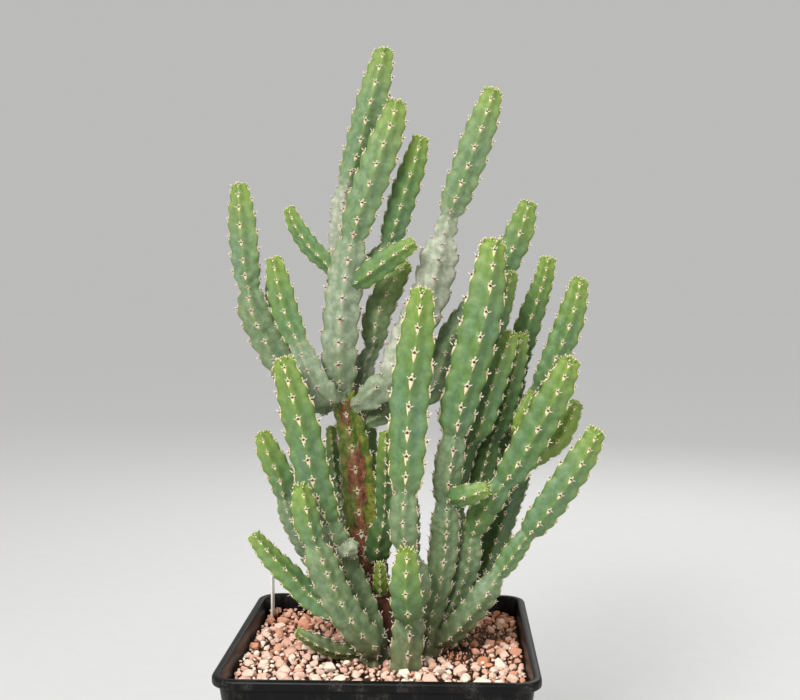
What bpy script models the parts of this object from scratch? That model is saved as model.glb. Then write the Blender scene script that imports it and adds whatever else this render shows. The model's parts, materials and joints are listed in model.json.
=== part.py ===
"""Potted euphorbia: a square nursery pot with a clump of five-ribbed stems.

Metres, +Z up.  The middle of the pot's flat underside is at the origin, and
the front of the plant faces -Y.  Stems are given in millimetres from the
middle of the gravel's surface.
"""
import math

import bmesh
import bpy
from mathutils import Matrix, Vector

MM = 0.001

# Pot
POT_HEIGHT = 130.0
POT_TOP = 149.0          # outside width just under the lip
POT_FOOT = 117.0         # outside width at the foot
POT_CORNER = 10.0        # outside corner radius
POT_WALL = 1.6
LIP_OVERHANG = 2.5       # how far the rolled lip stands out from the wall
LIP_DEPTH = 4.5
LIP_ROUND = 1.4
DRAIN_RADIUS = 4.5
DRAIN_FROM_MIDDLE = 34.0

# Filling
GRAVEL_BELOW_LIP = 8.0
GRAVEL_DEPTH = 12.0
GRAVEL_WAVE = 1.1        # height of the gravel's gentle bumps
GRAVEL_PATCH = 18.0      # size of the patches that its surface is made of
ROOTED_DEPTH = 18.0      # how far a rooted stem goes under the gravel
CLEARANCE = 0.3          # gap between neighbouring pieces

# Label
LABEL_WIDTH = 13.0
LABEL_THICK = 0.9
LABEL_ABOVE = 42.0
LABEL_BELOW = 26.0
LABEL_FROM_LEFT = 1.5     # from the pot's inner wall, at the label's foot
LABEL_FROM_BACK = 11.7
LABEL_TURN = math.radians(93.0)
LABEL_POINT = 9.0        # length of its pointed foot
LABEL_FOOT = 2.4         # width at the very end of the point
LABEL_SNIP = 1.5         # how far its top corners are cut off

# Stems
RIBS = 5
RIB_DEPTH = 0.22         # valley depth as a part of the crest radius
GIRTH = 1.0              # scales every stem's radius
RING_STEP = 11.0         # aimed distance between the rings of a stem
NECK = 0.62              # radius of a growth's neck, as a part of its belly
TIP = 0.60               # radius of a growing tip, as a part of its belly
SHOULDER = 10.0          # length over which a growth widens from its neck
BURIED = 6.0             # length of a stem's neck that its bearer hides

GRAVEL_TOP = POT_HEIGHT - GRAVEL_BELOW_LIP

# Each stem: its starting point on the axis of the stem that bears it (or
# under the gravel), then its growths from old to young.  A growth is the
# radius of its belly and the points that its axis passes through.
STEMS = {
    "trunk": [
        (1, 0, -ROOTED_DEPTH),
        (9.7, (0, 0, 8), (-3, 0, 26), (-7, 0, 41), (-11, 0, 67), (-13, 0, 92), (-17, 0, 118), (-22, 0, 138)),
    ],
    "stem_centre": [
        (-21, -1, 130),
        (9.8, (-22, -5, 155), (-20, -5, 181), (-17, -5, 201), (-15, -5, 211)),
        (9.2, (-11, -5, 226), (-4, -5, 245), (5, -5, 270), (7, -5, 279)),
    ],
    "stem_tallest": [
        (-20, 4, 130),
        (7.4, (-24, 14, 158), (-23, 15, 192), (-21, 15, 228), (-19, 15, 240)),
        (8.8, (-14, 15, 254), (-7, 15, 280), (-1, 15, 304), (0, 15, 309)),
    ],
    "stem_centre_left_arm": [
        (-22, -5, 191),
        (5.3, (-29, -5, 201), (-36, -5, 208), (-43, -5, 218), (-47, -5, 227)),
    ],
    "stem_centre_right_arm": [
        (-17, -6, 188),
        (6.6, (-8, -12, 193), (4, -13, 202), (15, -13, 209)),
    ],
    "stem_centre_back_arm": [
        (-18, -3, 190),
        (5.2, (-9, 6, 198), (2, 8, 209)),
        (7.4, (6, 8, 220), (11, 8, 237), (16, 8, 252), (19, 8, 263)),
    ],
    "stem_crown_right": [
        (-15, 5, 130),
        (5.4, (-11, 11, 139), (-10, 12, 149), (-6, 12, 156)),
        (7.8, (-4, 12, 172), (2, 12, 186), (10, 12, 199)),
    ],
    "stem_right_tall": [
        (-15, -2, 127),
        (8.4, (-9, -5, 130), (-2, -5, 135), (4, -1, 138)),
        (10.4, (9, 3, 152), (16, 5, 167), (24, 5, 184), (29, 5, 204), (31, 5, 212)),
        (6.4, (32, 5, 217), (34, 5, 224)),
        (8.6, (39, 5, 238), (44, 5, 251), (53, 5, 277), (56, 5, 286)),
    ],
    "stem_right_back": [
        (-13, 2, 116),
        (6.6, (-5, 4, 120), (2, 7, 124)),
        (7.8, (10, 15, 126), (26, 20, 136), (34, 20, 159), (45, 20, 174), (58, 20, 188)),
        (8.0, (61, 20, 196), (66, 20, 206), (71, 20, 217), (75, 20, 230)),
    ],
    "stem_trunk_front": [
        (-9, -1, 45),
        (7.0, (-3, -9, 53), (-1, -14, 63), (1, -16, 71)),
        (5.4, (2, -16, 90), (2, -16, 114)),
    ],
    "stem_trunk_bud": [
        (-3, -1, 26),
        (4.2, (-1, -11, 36), (-1, -17, 48)),
    ],
    "stem_front_tall": [
        (12, -29, -ROOTED_DEPTH),
        (8.6, (12, -29, 0), (13, -29, 13), (15, -30, 28)),
        (5.8, (19, -34, 38), (19, -37, 48), (14, -38, 59)),
        (7.4, (12, -38, 71), (12, -38, 83), (13, -38, 89)),
        (10.0, (14, -38, 113), (15, -38, 133), (17, -38, 151), (21, -38, 184)),
    ],
    "stem_front_short": [
        (13, -30, 24),
        (8.2, (14, -44, 34), (13, -50, 47), (14, -52, 62)),
    ],
    "stem_right_front": [
        (21, -6, -ROOTED_DEPTH),
        (7.8, (22, -6, 4), (24, -9, 23), (28, -12, 39), (31, -14, 60), (32, -17, 79)),
        (7.8, (33, -19, 96), (36, -21, 115)),
        (10.6, (38, -22, 129), (42, -23, 144), (50, -24, 176), (55, -25, 208)),
    ],
    "stem_right_front_knob": [
        (33, -18, 83),
        (6.0, (38, -27, 85), (44, -31, 87), (52, -33, 90)),
    ],
    "stem_right_inner": [
        (33, -18, 84),
        (5.0, (38, -6, 87), (44, 0, 106), (48, 3, 116)),
        (6.2, (51, 8, 133), (56, 8, 159), (62, 8, 180), (66, 8, 194)),
    ],
    "stem_right_middle": [
        (45, 0, 108),
        (7.4, (49, -5, 115), (54, -6, 132), (58, -6, 145), (65, -6, 163)),
    ],
    "stem_right_lean": [
        (23, -6, 3),
        (6.3, (31, -3, 16), (39, -3, 32), (44, -6, 46), (46, -9, 62)),
        (7.4, (51, -12, 75), (57, -14, 84), (61, -15, 90)),
        (9.2, (68, -16, 100), (75, -17, 113), (88, -19, 138), (93, -20, 150)),
    ],
    "stem_right_second": [
        (50, -13, 73),
        (6.2, (49, -1, 84), (53, 5, 98), (56, 6, 109)),
        (6.6, (60, 6, 118), (63, 6, 128), (67, 6, 144), (71, 6, 162)),
    ],
    "stem_right_low": [
        (23, -6, 2),
        (7.2, (35, -9, 12), (44, -13, 23), (51, -16, 33), (57, -16, 42)),
        (5.8, (61, -15, 47), (67, -15, 56), (73, -15, 64)),
        (8.4, (76, -15, 68), (84, -16, 79), (99, -18, 102), (106, -20, 115)),
    ],
    "stem_right_rear": [
        (32, 15, -ROOTED_DEPTH),
        (7.6, (37, 15, 17), (50, 15, 33), (58, 15, 54), (65, 15, 75), (72, 15, 94)),
        (6.6, (78, 15, 98), (84, 15, 103), (90, 15, 107), (96, 15, 117), (100, 15, 126)),
    ],
    "stem_far_right_inner": [
        (69, 16, 90),
        (7.4, (66, 23, 110), (68, 23, 143), (76, 18, 170), (83, 16, 191), (85, 15, 201)),
    ],
    "stem_far_right": [
        (70, 14, 88),
        (4.6, (71, 5, 105), (74, 6, 124), (80, 8, 136)),
        (7.8, (85, 8, 143), (91, 8, 157), (96, 8, 170), (101, 8, 190)),
    ],
    "stem_far_right_bud": [
        (71, 4, 106),
        (4.6, (70, -3, 117), (76, -3, 133)),
    ],
    "stem_left_front": [
        (-4, -17, -ROOTED_DEPTH),
        (8.2, (-4, -16, 4), (-9, -15, 23), (-15, -17, 39), (-21, -21, 55), (-26, -25, 71)),
        (9.4, (-32, -28, 90), (-37, -31, 115), (-40, -33, 128), (-46, -35, 151)),
    ],
    "stem_left_stub": [
        (-20, -21, 53),
        (5.6, (-17, -29, 57), (-13, -35, 62)),
    ],
    "stem_left_low_front": [
        (-4, -18, 0),
        (8.4, (-6, -28, 12), (-12, -34, 21), (-19, -38, 33), (-26, -41, 49), (-31, -44, 64)),
        (7.0, (-35, -46, 78), (-37, -48, 92)),
    ],
    "stem_left_spreading": [
        (-16, -35, 27),
        (6.5, (-27, -29, 28), (-37, -22, 33), (-46, -20, 42), (-56, -20, 52), (-64, -20, 62)),
    ],
    "stem_left_ground": [
        (-6, -17, 4),
        (4.8, (-14, -19, 4), (-23, -20, 5), (-33, -20, 9), (-42, -18, 13)),
    ],
    "stem_left_middle": [
        (-1, 0, 12),
        (6.2, (-13, 2, 22), (-27, 0, 33), (-40, -6, 56), (-47, -8, 71), (-50, -8, 80)),
        (7.2, (-52, -8, 92), (-57, -8, 102), (-61, -8, 112)),
    ],
    "stem_left_tall": [
        (-19, 2, 128),
        (8.8, (-28, 5, 129), (-38, 5, 132), (-55, 5, 152), (-66, 5, 173), (-69, 5, 186)),
        (8.0, (-71, 5, 200), (-73, 5, 225), (-74, 5, 239)),
    ],
    "stem_left_inner": [
        (-21, -3, 132),
        (7.4, (-27, -11, 133), (-34, -14, 141), (-38, -14, 150), (-41, -12, 158)),
        (7.2, (-46, -9, 168), (-50, -7, 179), (-55, -5, 201)),
    ],
    "stem_behind_trunk_left": [
        (-6, 2, 38),
        (4.8, (-14, 16, 46), (-22, 27, 60), (-28, 28, 89), (-30, 28, 111)),
    ],
    "stem_behind_trunk": [
        (-9, 1, 52),
        (4.4, (-14, 13, 60), (-19, 17, 72), (-20, 17, 86), (-21, 17, 106)),
    ],
    "stem_rear_centre": [
        (0, 2, 12),
        (6.0, (-3, 17, 26), (-7, 34, 52), (-9, 42, 78)),
        (6.2, (-11, 46, 94), (-14, 50, 122)),
    ],
    "stem_rear_front_right": [
        (8, 18, -ROOTED_DEPTH),
        (6.0, (9, 22, 10), (12, 34, 40), (12, 42, 72)),
        (6.4, (12, 46, 92), (13, 52, 140)),
    ],
    "stem_rear_right": [
        (21, 24, -ROOTED_DEPTH),
        (5.8, (25, 29, 14), (33, 40, 42), (38, 46, 70)),
        (6.0, (39, 50, 84), (40, 54, 106)),
    ],
    "stem_rear_far_right": [
        (38, 15, 18),
        (5.6, (46, 27, 28), (57, 38, 50), (62, 44, 74)),
        (5.6, (64, 46, 84), (66, 50, 100)),
    ],
    "stem_rear_left": [
        (-1, 1, 8),
        (5.6, (-13, 17, 15), (-24, 32, 32), (-34, 44, 58), (-37, 48, 72)),
        (5.8, (-39, 51, 84), (-42, 54, 100)),
    ],
    "stem_rear_low": [
        (0, 3, 3),
        (5.4, (-3, 24, 8), (-10, 40, 14), (-18, 54, 28), (-24, 62, 46)),
    ],
    "stem_rear_low_right": [
        (23, 27, 3),
        (5.2, (29, 42, 12), (37, 56, 32), (40, 62, 58)),
    ],
    "stem_rear_crown": [
        (-16, 1, 110),
        (6.0, (-17, 16, 119), (-22, 29, 142), (-25, 36, 166)),
        (6.0, (-25, 39, 180), (-22, 42, 204)),
    ],
    "stem_rear_far_left": [
        (-53, 5, 149),
        (5.8, (-58, 19, 156), (-61, 31, 178), (-60, 38, 202)),
    ],
    "stem_rear_outer_right": [
        (78, 7, 130),
        (5.2, (84, 22, 138), (91, 33, 156), (96, 39, 173)),
    ],
}

STEM_COLOURS = {
    "old": (0.30, 0.36, 0.24, 1.0),
    "grown": (0.20, 0.36, 0.19, 1.0),
    "young": (0.30, 0.46, 0.12, 1.0),
}
OLD_STEMS = ("trunk", "stem_left_stub")
YOUNG_STEMS = ("stem_trunk_bud", "stem_far_right_bud")


def clear_scene():
    for old in list(bpy.data.objects):
        bpy.data.objects.remove(old, do_unlink=True)


def material(name, colour, roughness, metallic=0.0):
    made = bpy.data.materials.new(name)
    made.use_nodes = True
    made.diffuse_color = colour
    shader = made.node_tree.nodes["Principled BSDF"]
    shader.inputs["Base Color"].default_value = colour
    shader.inputs["Roughness"].default_value = roughness
    shader.inputs["Metallic"].default_value = metallic
    return made


def show(name, mesh_data, finish, parent=None):
    """Link a mesh into the scene as a named sub-part."""
    mesh_data.name = name
    mesh_data.materials.clear()
    mesh_data.materials.append(finish)
    made = bpy.data.objects.new(name, mesh_data)
    bpy.context.scene.collection.objects.link(made)
    made.parent = parent
    return made


def mesh_from(bm, name):
    """Turn a bmesh into mesh data, with its faces facing outwards."""
    bmesh.ops.recalc_face_normals(bm, faces=bm.faces)
    made = bpy.data.meshes.new(name)
    bm.to_mesh(made)
    bm.free()
    return made


# ---------------------------------------------------------------- booleans

def apply_boolean(target, operation, tool_mesh):
    """Cut or join a mesh into an object, and keep the result as its mesh."""
    tool = bpy.data.objects.new("tool", tool_mesh)
    bpy.context.scene.collection.objects.link(tool)
    step = target.modifiers.new("step", "BOOLEAN")
    step.operation = operation
    step.solver = "EXACT"
    step.object = tool
    graph = bpy.context.evaluated_depsgraph_get()
    result = bpy.data.meshes.new_from_object(target.evaluated_get(graph))
    target.modifiers.remove(step)
    target.data = result
    bpy.data.objects.remove(tool, do_unlink=True)


def keep_main_body(target):
    """Drop the stub of a stem that a cut leaves inside its neighbour."""
    bm = bmesh.new()
    bm.from_mesh(target.data)
    bmesh.ops.remove_doubles(bm, verts=bm.verts, dist=0.002 * MM)
    left = set(bm.verts)
    bodies = []
    while left:
        front = [left.pop()]
        body = set(front)
        while front:
            vert = front.pop()
            for edge in vert.link_edges:
                near = edge.other_vert(vert)
                if near in left:
                    left.discard(near)
                    body.add(near)
                    front.append(near)
        bodies.append(body)
    main = max(bodies, key=len)
    spare = [vert for vert in bm.verts if vert not in main]
    bmesh.ops.delete(bm, geom=spare, context="VERTS")
    bm.to_mesh(target.data)
    bm.free()


# ------------------------------------------------------------------- pot

def tapered_block(low_width, high_width, low, high, corner, grow=0.0):
    """A square block with rounded upright corners, as mesh data."""
    bm = bmesh.new()
    bmesh.ops.create_cube(bm, size=1.0)
    for vert in bm.verts:
        above = vert.co.z > 0.0
        half = (high_width if above else low_width) / 2.0 + grow
        vert.co.x = math.copysign(half, vert.co.x) * MM
        vert.co.y = math.copysign(half, vert.co.y) * MM
        vert.co.z = (high if above else low) * MM
    upright = [
        edge for edge in bm.edges
        if abs(edge.verts[0].co.z - edge.verts[1].co.z) > 1e-6
    ]
    bmesh.ops.bevel(
        bm, geom=upright, offset=(corner + grow) * MM, segments=4,
        profile=0.5, affect="EDGES",
    )
    return mesh_from(bm, "block")


def pot_width(height):
    """Outside width of the pot's wall at a height above its foot."""
    return POT_FOOT + (POT_TOP - POT_FOOT) * height / POT_HEIGHT


def inner_block(low, high, gap):
    """A block that fills the pot between two heights, less a gap."""
    inset = 2.0 * (POT_WALL + gap)
    return tapered_block(
        pot_width(low) - inset, pot_width(high) - inset, low, high,
        POT_CORNER - POT_WALL - gap,
    )


def disc_mesh(radius, low, high, at):
    bm = bmesh.new()
    bmesh.ops.create_cone(
        bm, cap_ends=True, segments=16,
        radius1=radius * MM, radius2=radius * MM, depth=(high - low) * MM,
    )
    middle = Vector((at[0], at[1], (low + high) / 2.0)) * MM
    bmesh.ops.translate(bm, verts=bm.verts, vec=middle)
    return mesh_from(bm, "disc")


def lip_block():
    """The rolled lip, with its long edges rounded."""
    width = POT_TOP + 2.0 * LIP_OVERHANG
    bm = bmesh.new()
    bm.from_mesh(tapered_block(
        width, width, POT_HEIGHT - LIP_DEPTH, POT_HEIGHT,
        POT_CORNER + LIP_OVERHANG,
    ))
    rims = [
        edge for edge in bm.edges
        if abs(edge.verts[0].co.z - edge.verts[1].co.z) < 1e-6
    ]
    bmesh.ops.bevel(
        bm, geom=rims, offset=LIP_ROUND * MM, segments=2, profile=0.5,
        affect="EDGES",
    )
    return mesh_from(bm, "lip")


def build_pot(root):
    body = tapered_block(POT_FOOT, POT_TOP, 0.0, POT_HEIGHT - 1.0, POT_CORNER)
    finish = material("pot_plastic", (0.012, 0.012, 0.013, 1.0), 0.32)
    pot = show("pot", body, finish, root)
    apply_boolean(pot, "UNION", lip_block())
    apply_boolean(pot, "DIFFERENCE", inner_block(POT_WALL, POT_HEIGHT + 5.0, 0.0))
    for corner in range(4):
        turn = math.radians(45.0 + 90.0 * corner)
        at = (DRAIN_FROM_MIDDLE * math.cos(turn), DRAIN_FROM_MIDDLE * math.sin(turn))
        hole = disc_mesh(DRAIN_RADIUS, -2.0, POT_WALL + 2.0, at)
        apply_boolean(pot, "DIFFERENCE", hole)
    keep_main_body(pot)


def build_soil(root):
    top = GRAVEL_TOP - GRAVEL_DEPTH - CLEARANCE
    block = inner_block(POT_WALL + CLEARANCE, top, CLEARANCE)
    finish = material("soil", (0.055, 0.035, 0.022, 1.0), 0.95)
    return show("potting_soil", block, finish, root)


def build_gravel(root):
    """The layer of small stones, with a gently uneven surface."""
    bm = bmesh.new()
    bm.from_mesh(inner_block(GRAVEL_TOP - GRAVEL_DEPTH, GRAVEL_TOP, CLEARANCE))
    for step in range(-3, 4):
        for across in ((1.0, 0.0, 0.0), (0.0, 1.0, 0.0)):
            at = Vector(across) * step * GRAVEL_PATCH * MM
            everything = list(bm.verts) + list(bm.edges) + list(bm.faces)
            bmesh.ops.bisect_plane(bm, geom=everything, plane_co=at, plane_no=across)
    for vert in bm.verts:
        if vert.co.z > (GRAVEL_TOP - 1.0) * MM:
            wave = math.sin(vert.co.x / MM * 0.115) * math.cos(vert.co.y / MM * 0.14 + 0.6)
            vert.co.z += GRAVEL_WAVE * wave * MM
    bmesh.ops.triangulate(bm, faces=bm.faces)
    finish = material("pumice_gravel", (0.52, 0.33, 0.22, 1.0), 0.9)
    return show("gravel_top_dressing", mesh_from(bm, "gravel"), finish, root)


# ------------------------------------------------------------------ stems

def shoulder(run, length):
    """Share of the belly's radius at a distance from the nearest neck."""
    rise = min(max(run, 0.0) / min(SHOULDER, length / 2.0), 1.0)
    return NECK + (1.0 - NECK) * math.sin(math.pi / 2.0 * rise) ** 0.7


def growth_radius(along, length, belly, first, last):
    """Radius along one growth: a neck, a full belly, then a shoulder or a tip."""
    run = along * length - (BURIED if first else 0.0)
    swell = 0.86 + 0.14 * math.sin(math.pi / 2.0 * min(along / 0.5, 1.0))
    if last:
        fade = 1.0 - (1.0 - TIP) * max(0.0, (along - 0.5) / 0.5) ** 2.4
    else:
        fade = shoulder((1.0 - along) * length, length)
    return GIRTH * belly * swell * shoulder(run, length) * fade


def axis_point(points, index, along):
    """A point of the smooth curve through a stem's axis points."""
    before = points[max(index - 1, 0)]
    start = points[index]
    end = points[index + 1]
    after = points[min(index + 2, len(points) - 1)]
    lean_in = (end - before) * 0.5
    lean_out = (after - start) * 0.5
    t2 = along * along
    t3 = t2 * along
    return (
        start * (2 * t3 - 3 * t2 + 1) + lean_in * (t3 - 2 * t2 + along)
        + end * (3 * t2 - 2 * t3) + lean_out * (t3 - t2)
    )


def stem_rings(name, spacing):
    """Axis points and radii of a stem's rings, in millimetres."""
    start, *growths = STEMS[name]
    points = [Vector(start)]
    belongs = []
    for number, (belly, *way) in enumerate(growths):
        for point in way:
            points.append(Vector(point))
            belongs.append(number)
    centres, radii = [], []
    for number, (belly, *way) in enumerate(growths):
        spans = [i for i, owner in enumerate(belongs) if owner == number]
        fine = [axis_point(points, spans[0], 0.0)]
        for i in spans:
            fine += [axis_point(points, i, step / 8.0) for step in range(1, 9)]
        runs = [0.0]
        for a, b in zip(fine, fine[1:]):
            runs.append(runs[-1] + (b - a).length)
        rings = max(4, round(runs[-1] / spacing))
        for ring in range(0 if number == 0 else 1, rings + 1):
            want = runs[-1] * ring / rings
            k = max(i for i in range(len(runs) - 1) if runs[i] <= want + 1e-9)
            part = (want - runs[k]) / (runs[k + 1] - runs[k])
            centres.append(fine[k].lerp(fine[k + 1], part))
            ends = (number == 0, number == len(growths) - 1)
            radii.append(growth_radius(ring / rings, runs[-1], belly, *ends))
    return centres, radii


def rib_profile():
    """The stems' cross-section, with crests at a radius of one millimetre."""
    curve = bpy.data.curves.new("rib_profile", "CURVE")
    curve.dimensions = "2D"
    spline = curve.splines.new("POLY")
    spline.points.add(2 * RIBS - 1)
    spline.use_cyclic_u = True
    for k, point in enumerate(spline.points):
        turn = math.pi * k / RIBS
        reach = (1.0 - RIB_DEPTH * (k % 2)) * MM
        point.co = (reach * math.cos(turn), reach * math.sin(turn), 0.0, 1.0)
    made = bpy.data.objects.new("rib_profile", curve)
    bpy.context.scene.collection.objects.link(made)
    return made


def plain_mesh(curve):
    """Turn a curve into a closed mesh and remove the curve."""
    holder = bpy.data.objects.new("curve", curve)
    bpy.context.scene.collection.objects.link(holder)
    graph = bpy.context.evaluated_depsgraph_get()
    made = bpy.data.meshes.new_from_object(holder.evaluated_get(graph))
    bpy.data.objects.remove(holder, do_unlink=True)
    bm = bmesh.new()
    bm.from_mesh(made)
    bmesh.ops.remove_doubles(bm, verts=bm.verts, dist=0.01 * MM)
    return mesh_from(bm, "plain")


def ribbed_tube(profile, centres, radii, grow=0.0):
    """A closed ribbed stem along its ring centres, grown all over by a gap."""
    curve = bpy.data.curves.new("stem", "CURVE")
    curve.dimensions = "3D"
    curve.bevel_mode = "OBJECT"
    curve.bevel_object = profile
    curve.use_fill_caps = True
    spline = curve.splines.new("POLY")
    spline.points.add(len(centres) - 1)
    middle = Vector((0.0, 0.0, GRAVEL_TOP))
    for point, centre, radius in zip(spline.points, centres, radii):
        point.co = (*((middle + centre) * MM), 1.0)
        point.radius = radius + grow / (1.0 - RIB_DEPTH)
    return plain_mesh(curve)


def longer(centres, extra):
    """Ring centres with both ends moved out, for a cutting tube."""
    moved = list(centres)
    moved[0] = centres[0] + (centres[0] - centres[1]).normalized() * extra
    moved[-1] = centres[-1] + (centres[-1] - centres[-2]).normalized() * extra
    return moved


def near(one, other):
    """Whether two stems come close enough to touch."""
    for a, ra in zip(*one):
        for b, rb in zip(*other):
            if (a - b).length < ra + rb + RING_STEP:
                return True
    return False


def build_stems(root, filling):
    """Grow each stem, cut it back from its neighbours and seat it in the gravel."""
    finishes = {}
    for age, colour in STEM_COLOURS.items():
        finishes[age] = material("stem_" + age, colour, 0.5)
    profile = rib_profile()
    built = {}
    for name in STEMS:
        centres, radii = stem_rings(name, RING_STEP)
        age = "grown"
        if name in OLD_STEMS:
            age = "old"
        elif name in YOUNG_STEMS:
            age = "young"
        stem = show(name, ribbed_tube(profile, centres, radii), finishes[age], root)
        for other in built.values():
            if near((centres, radii), other):
                cutter = ribbed_tube(profile, longer(other[0], CLEARANCE), other[1], CLEARANCE)
                apply_boolean(stem, "DIFFERENCE", cutter)
                keep_main_body(stem)
        lowest = min(centre.z - radius for centre, radius in zip(centres, radii))
        if lowest < 2.0 * GRAVEL_WAVE:
            for layer in filling:
                cutter = ribbed_tube(profile, longer(centres, CLEARANCE), radii, CLEARANCE)
                apply_boolean(layer, "DIFFERENCE", cutter)
        stem.data.shade_smooth()
        stem.data.set_sharp_from_angle(angle=math.radians(40.0))
        built[name] = (centres, radii)
    bpy.data.objects.remove(profile, do_unlink=True)


# ------------------------------------------------------------------ label

def label_block(grow=0.0):
    """The blank stake label: a thin strip with a pointed foot."""
    half = LABEL_WIDTH / 2.0 + grow
    top = LABEL_ABOVE + grow
    foot = -LABEL_BELOW - grow
    tip = LABEL_FOOT / 2.0 + grow
    outline = [
        (-half, top - LABEL_SNIP), (-half + LABEL_SNIP, top),
        (half - LABEL_SNIP, top), (half, top - LABEL_SNIP),
        (half, foot + LABEL_POINT), (tip, foot), (-tip, foot),
        (-half, foot + LABEL_POINT),
    ]
    curve = bpy.data.curves.new("label", "CURVE")
    curve.dimensions = "2D"
    curve.fill_mode = "BOTH"
    curve.extrude = (LABEL_THICK / 2.0 + grow) * MM
    spline = curve.splines.new("POLY")
    spline.points.add(len(outline) - 1)
    spline.use_cyclic_u = True
    for point, (x, y) in zip(spline.points, outline):
        point.co = (x * MM, y * MM, 0.0, 1.0)
    strip = plain_mesh(curve)
    upright = Matrix.Rotation(math.radians(90.0), 4, "X")
    turn = Matrix.Rotation(LABEL_TURN, 4, "Z")
    inside = pot_width(GRAVEL_TOP - LABEL_BELOW) / 2.0 - POT_WALL
    at = Vector((LABEL_FROM_LEFT - inside, inside - LABEL_FROM_BACK, GRAVEL_TOP))
    place = Matrix.Translation(at * MM)
    strip.transform(place @ turn @ upright)
    return strip


def build_label(root, filling):
    finish = material("label_plastic", (0.85, 0.86, 0.84, 1.0), 0.4)
    show("plant_label", label_block(), finish, root)
    for layer in filling:
        apply_boolean(layer, "DIFFERENCE", label_block(CLEARANCE))


def main():
    clear_scene()
    root = bpy.data.objects.new("potted_euphorbia", None)
    bpy.context.scene.collection.objects.link(root)
    build_pot(root)
    filling = [build_soil(root), build_gravel(root)]
    build_label(root, filling)
    build_stems(root, filling)
    for layer in filling:
        keep_main_body(layer)


main()
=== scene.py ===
"""Visual model of a potted euphorbia, built around its CAD frame.

Metres, +Z up.  The middle of the pot's flat underside is at the origin and
the front of the plant faces -Y.  Stems are given in millimetres from the
middle of the gravel's surface, as the frame's stems are.
"""
import json
import math

import bmesh
import bpy
import numpy as np
from bpy.props import FloatProperty, FloatVectorProperty, IntProperty, PointerProperty
from mathutils import Matrix, Vector, noise

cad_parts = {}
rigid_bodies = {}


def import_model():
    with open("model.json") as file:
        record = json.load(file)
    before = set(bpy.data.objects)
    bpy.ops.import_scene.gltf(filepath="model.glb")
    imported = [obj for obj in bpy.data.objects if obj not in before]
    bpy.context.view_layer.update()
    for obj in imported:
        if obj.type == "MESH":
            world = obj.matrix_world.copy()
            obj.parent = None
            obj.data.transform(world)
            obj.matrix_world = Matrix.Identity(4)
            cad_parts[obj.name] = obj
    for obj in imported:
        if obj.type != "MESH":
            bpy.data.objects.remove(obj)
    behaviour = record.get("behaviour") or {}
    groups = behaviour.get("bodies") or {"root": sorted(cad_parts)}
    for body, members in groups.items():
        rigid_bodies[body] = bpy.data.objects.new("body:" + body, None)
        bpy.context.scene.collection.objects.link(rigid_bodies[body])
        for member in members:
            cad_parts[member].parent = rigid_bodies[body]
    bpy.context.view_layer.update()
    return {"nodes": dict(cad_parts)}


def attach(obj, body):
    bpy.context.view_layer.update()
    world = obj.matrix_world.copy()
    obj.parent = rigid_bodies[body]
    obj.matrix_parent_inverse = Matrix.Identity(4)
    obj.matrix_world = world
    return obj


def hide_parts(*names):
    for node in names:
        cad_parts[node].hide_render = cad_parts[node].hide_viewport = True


bl_info = {
    "name": "Potted Euphorbia",
    "version": (1, 0, 0),
    "blender": (4, 5, 0),
    "location": "3D View > Sidebar > Euphorbia",
    "description": "Builds a potted euphorbia: pot, gravel, label, ribbed stems and spines",
    "category": "Add Mesh",
}

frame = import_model()

MM = 0.001
TAU = 2.0 * math.pi

# Pot and filling, in millimetres
POT_HEIGHT = 130.0
POT_TOP = 149.0
POT_FOOT = 117.0
POT_CORNER = 10.0
POT_WALL = 1.6
LIP_OVERHANG = 2.5
LIP_DEPTH = 4.5
# Outlines as pairs: the foot's edge (in from the wall, up from the floor), the
# underside of the lip (out from the wall, up from it) and its rolled top
# (out from the wall, down from the rim)
FOOT_EDGE = ((1.6, 0.0), (0.7, 0.25), (0.2, 0.8), (0.0, 1.8))
LIP_UNDER = ((0.25, -0.1), (1.2, -0.2), (1.9, 0.0), (2.35, 0.35), (LIP_OVERHANG, 0.9))
LIP_OVER = (
    (LIP_OVERHANG, 1.5), (2.35, 0.9), (1.95, 0.35), (1.3, 0.05), (0.6, 0.0), (-0.6, 0.0),
    (-1.2, 0.25), (-1.55, 0.9),
)
INSIDE_HEIGHTS = (124.0, 110.0, 80.0, 50.0, 20.0, 6.0, 3.2, 2.0, POT_WALL)
DRAIN_RADIUS = 4.5
DRAIN_FROM_MIDDLE = 34.0
GRAVEL_TOP = 122.0
GRAVEL_DEPTH = 12.0
GRAVEL_WAVE = 1.1          # height of the gravel's gentle bumps
BED_SINK = 3.8             # depth of the bed of fines under the gravel's surface
GRIT_SINK = 3.2
ROOTED_DEPTH = 18.0
GOLDEN_TURN = 2.39996      # angle that spreads points evenly round a ball

# Patches of darker, finer fill: middle and half size along X and Y
FINES = ((40.0, -8.0, 24.0, 22.0), (44.0, 24.0, 30.0, 26.0), (-24.0, -2.0, 20.0, 12.0))

# Label, in millimetres
LABEL_WIDTH = 13.0
LABEL_THICK = 0.9
LABEL_ROUND = 2.0          # radius of its two upper corners
LABEL_BEVEL = 0.22
LABEL_ABOVE = 42.0
LABEL_BELOW = 26.0
LABEL_POINT = 9.0
LABEL_FOOT = 2.4
LABEL_FROM_LEFT = 1.5
LABEL_FROM_BACK = 11.7
LABEL_TURN = math.radians(93.0)

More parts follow.
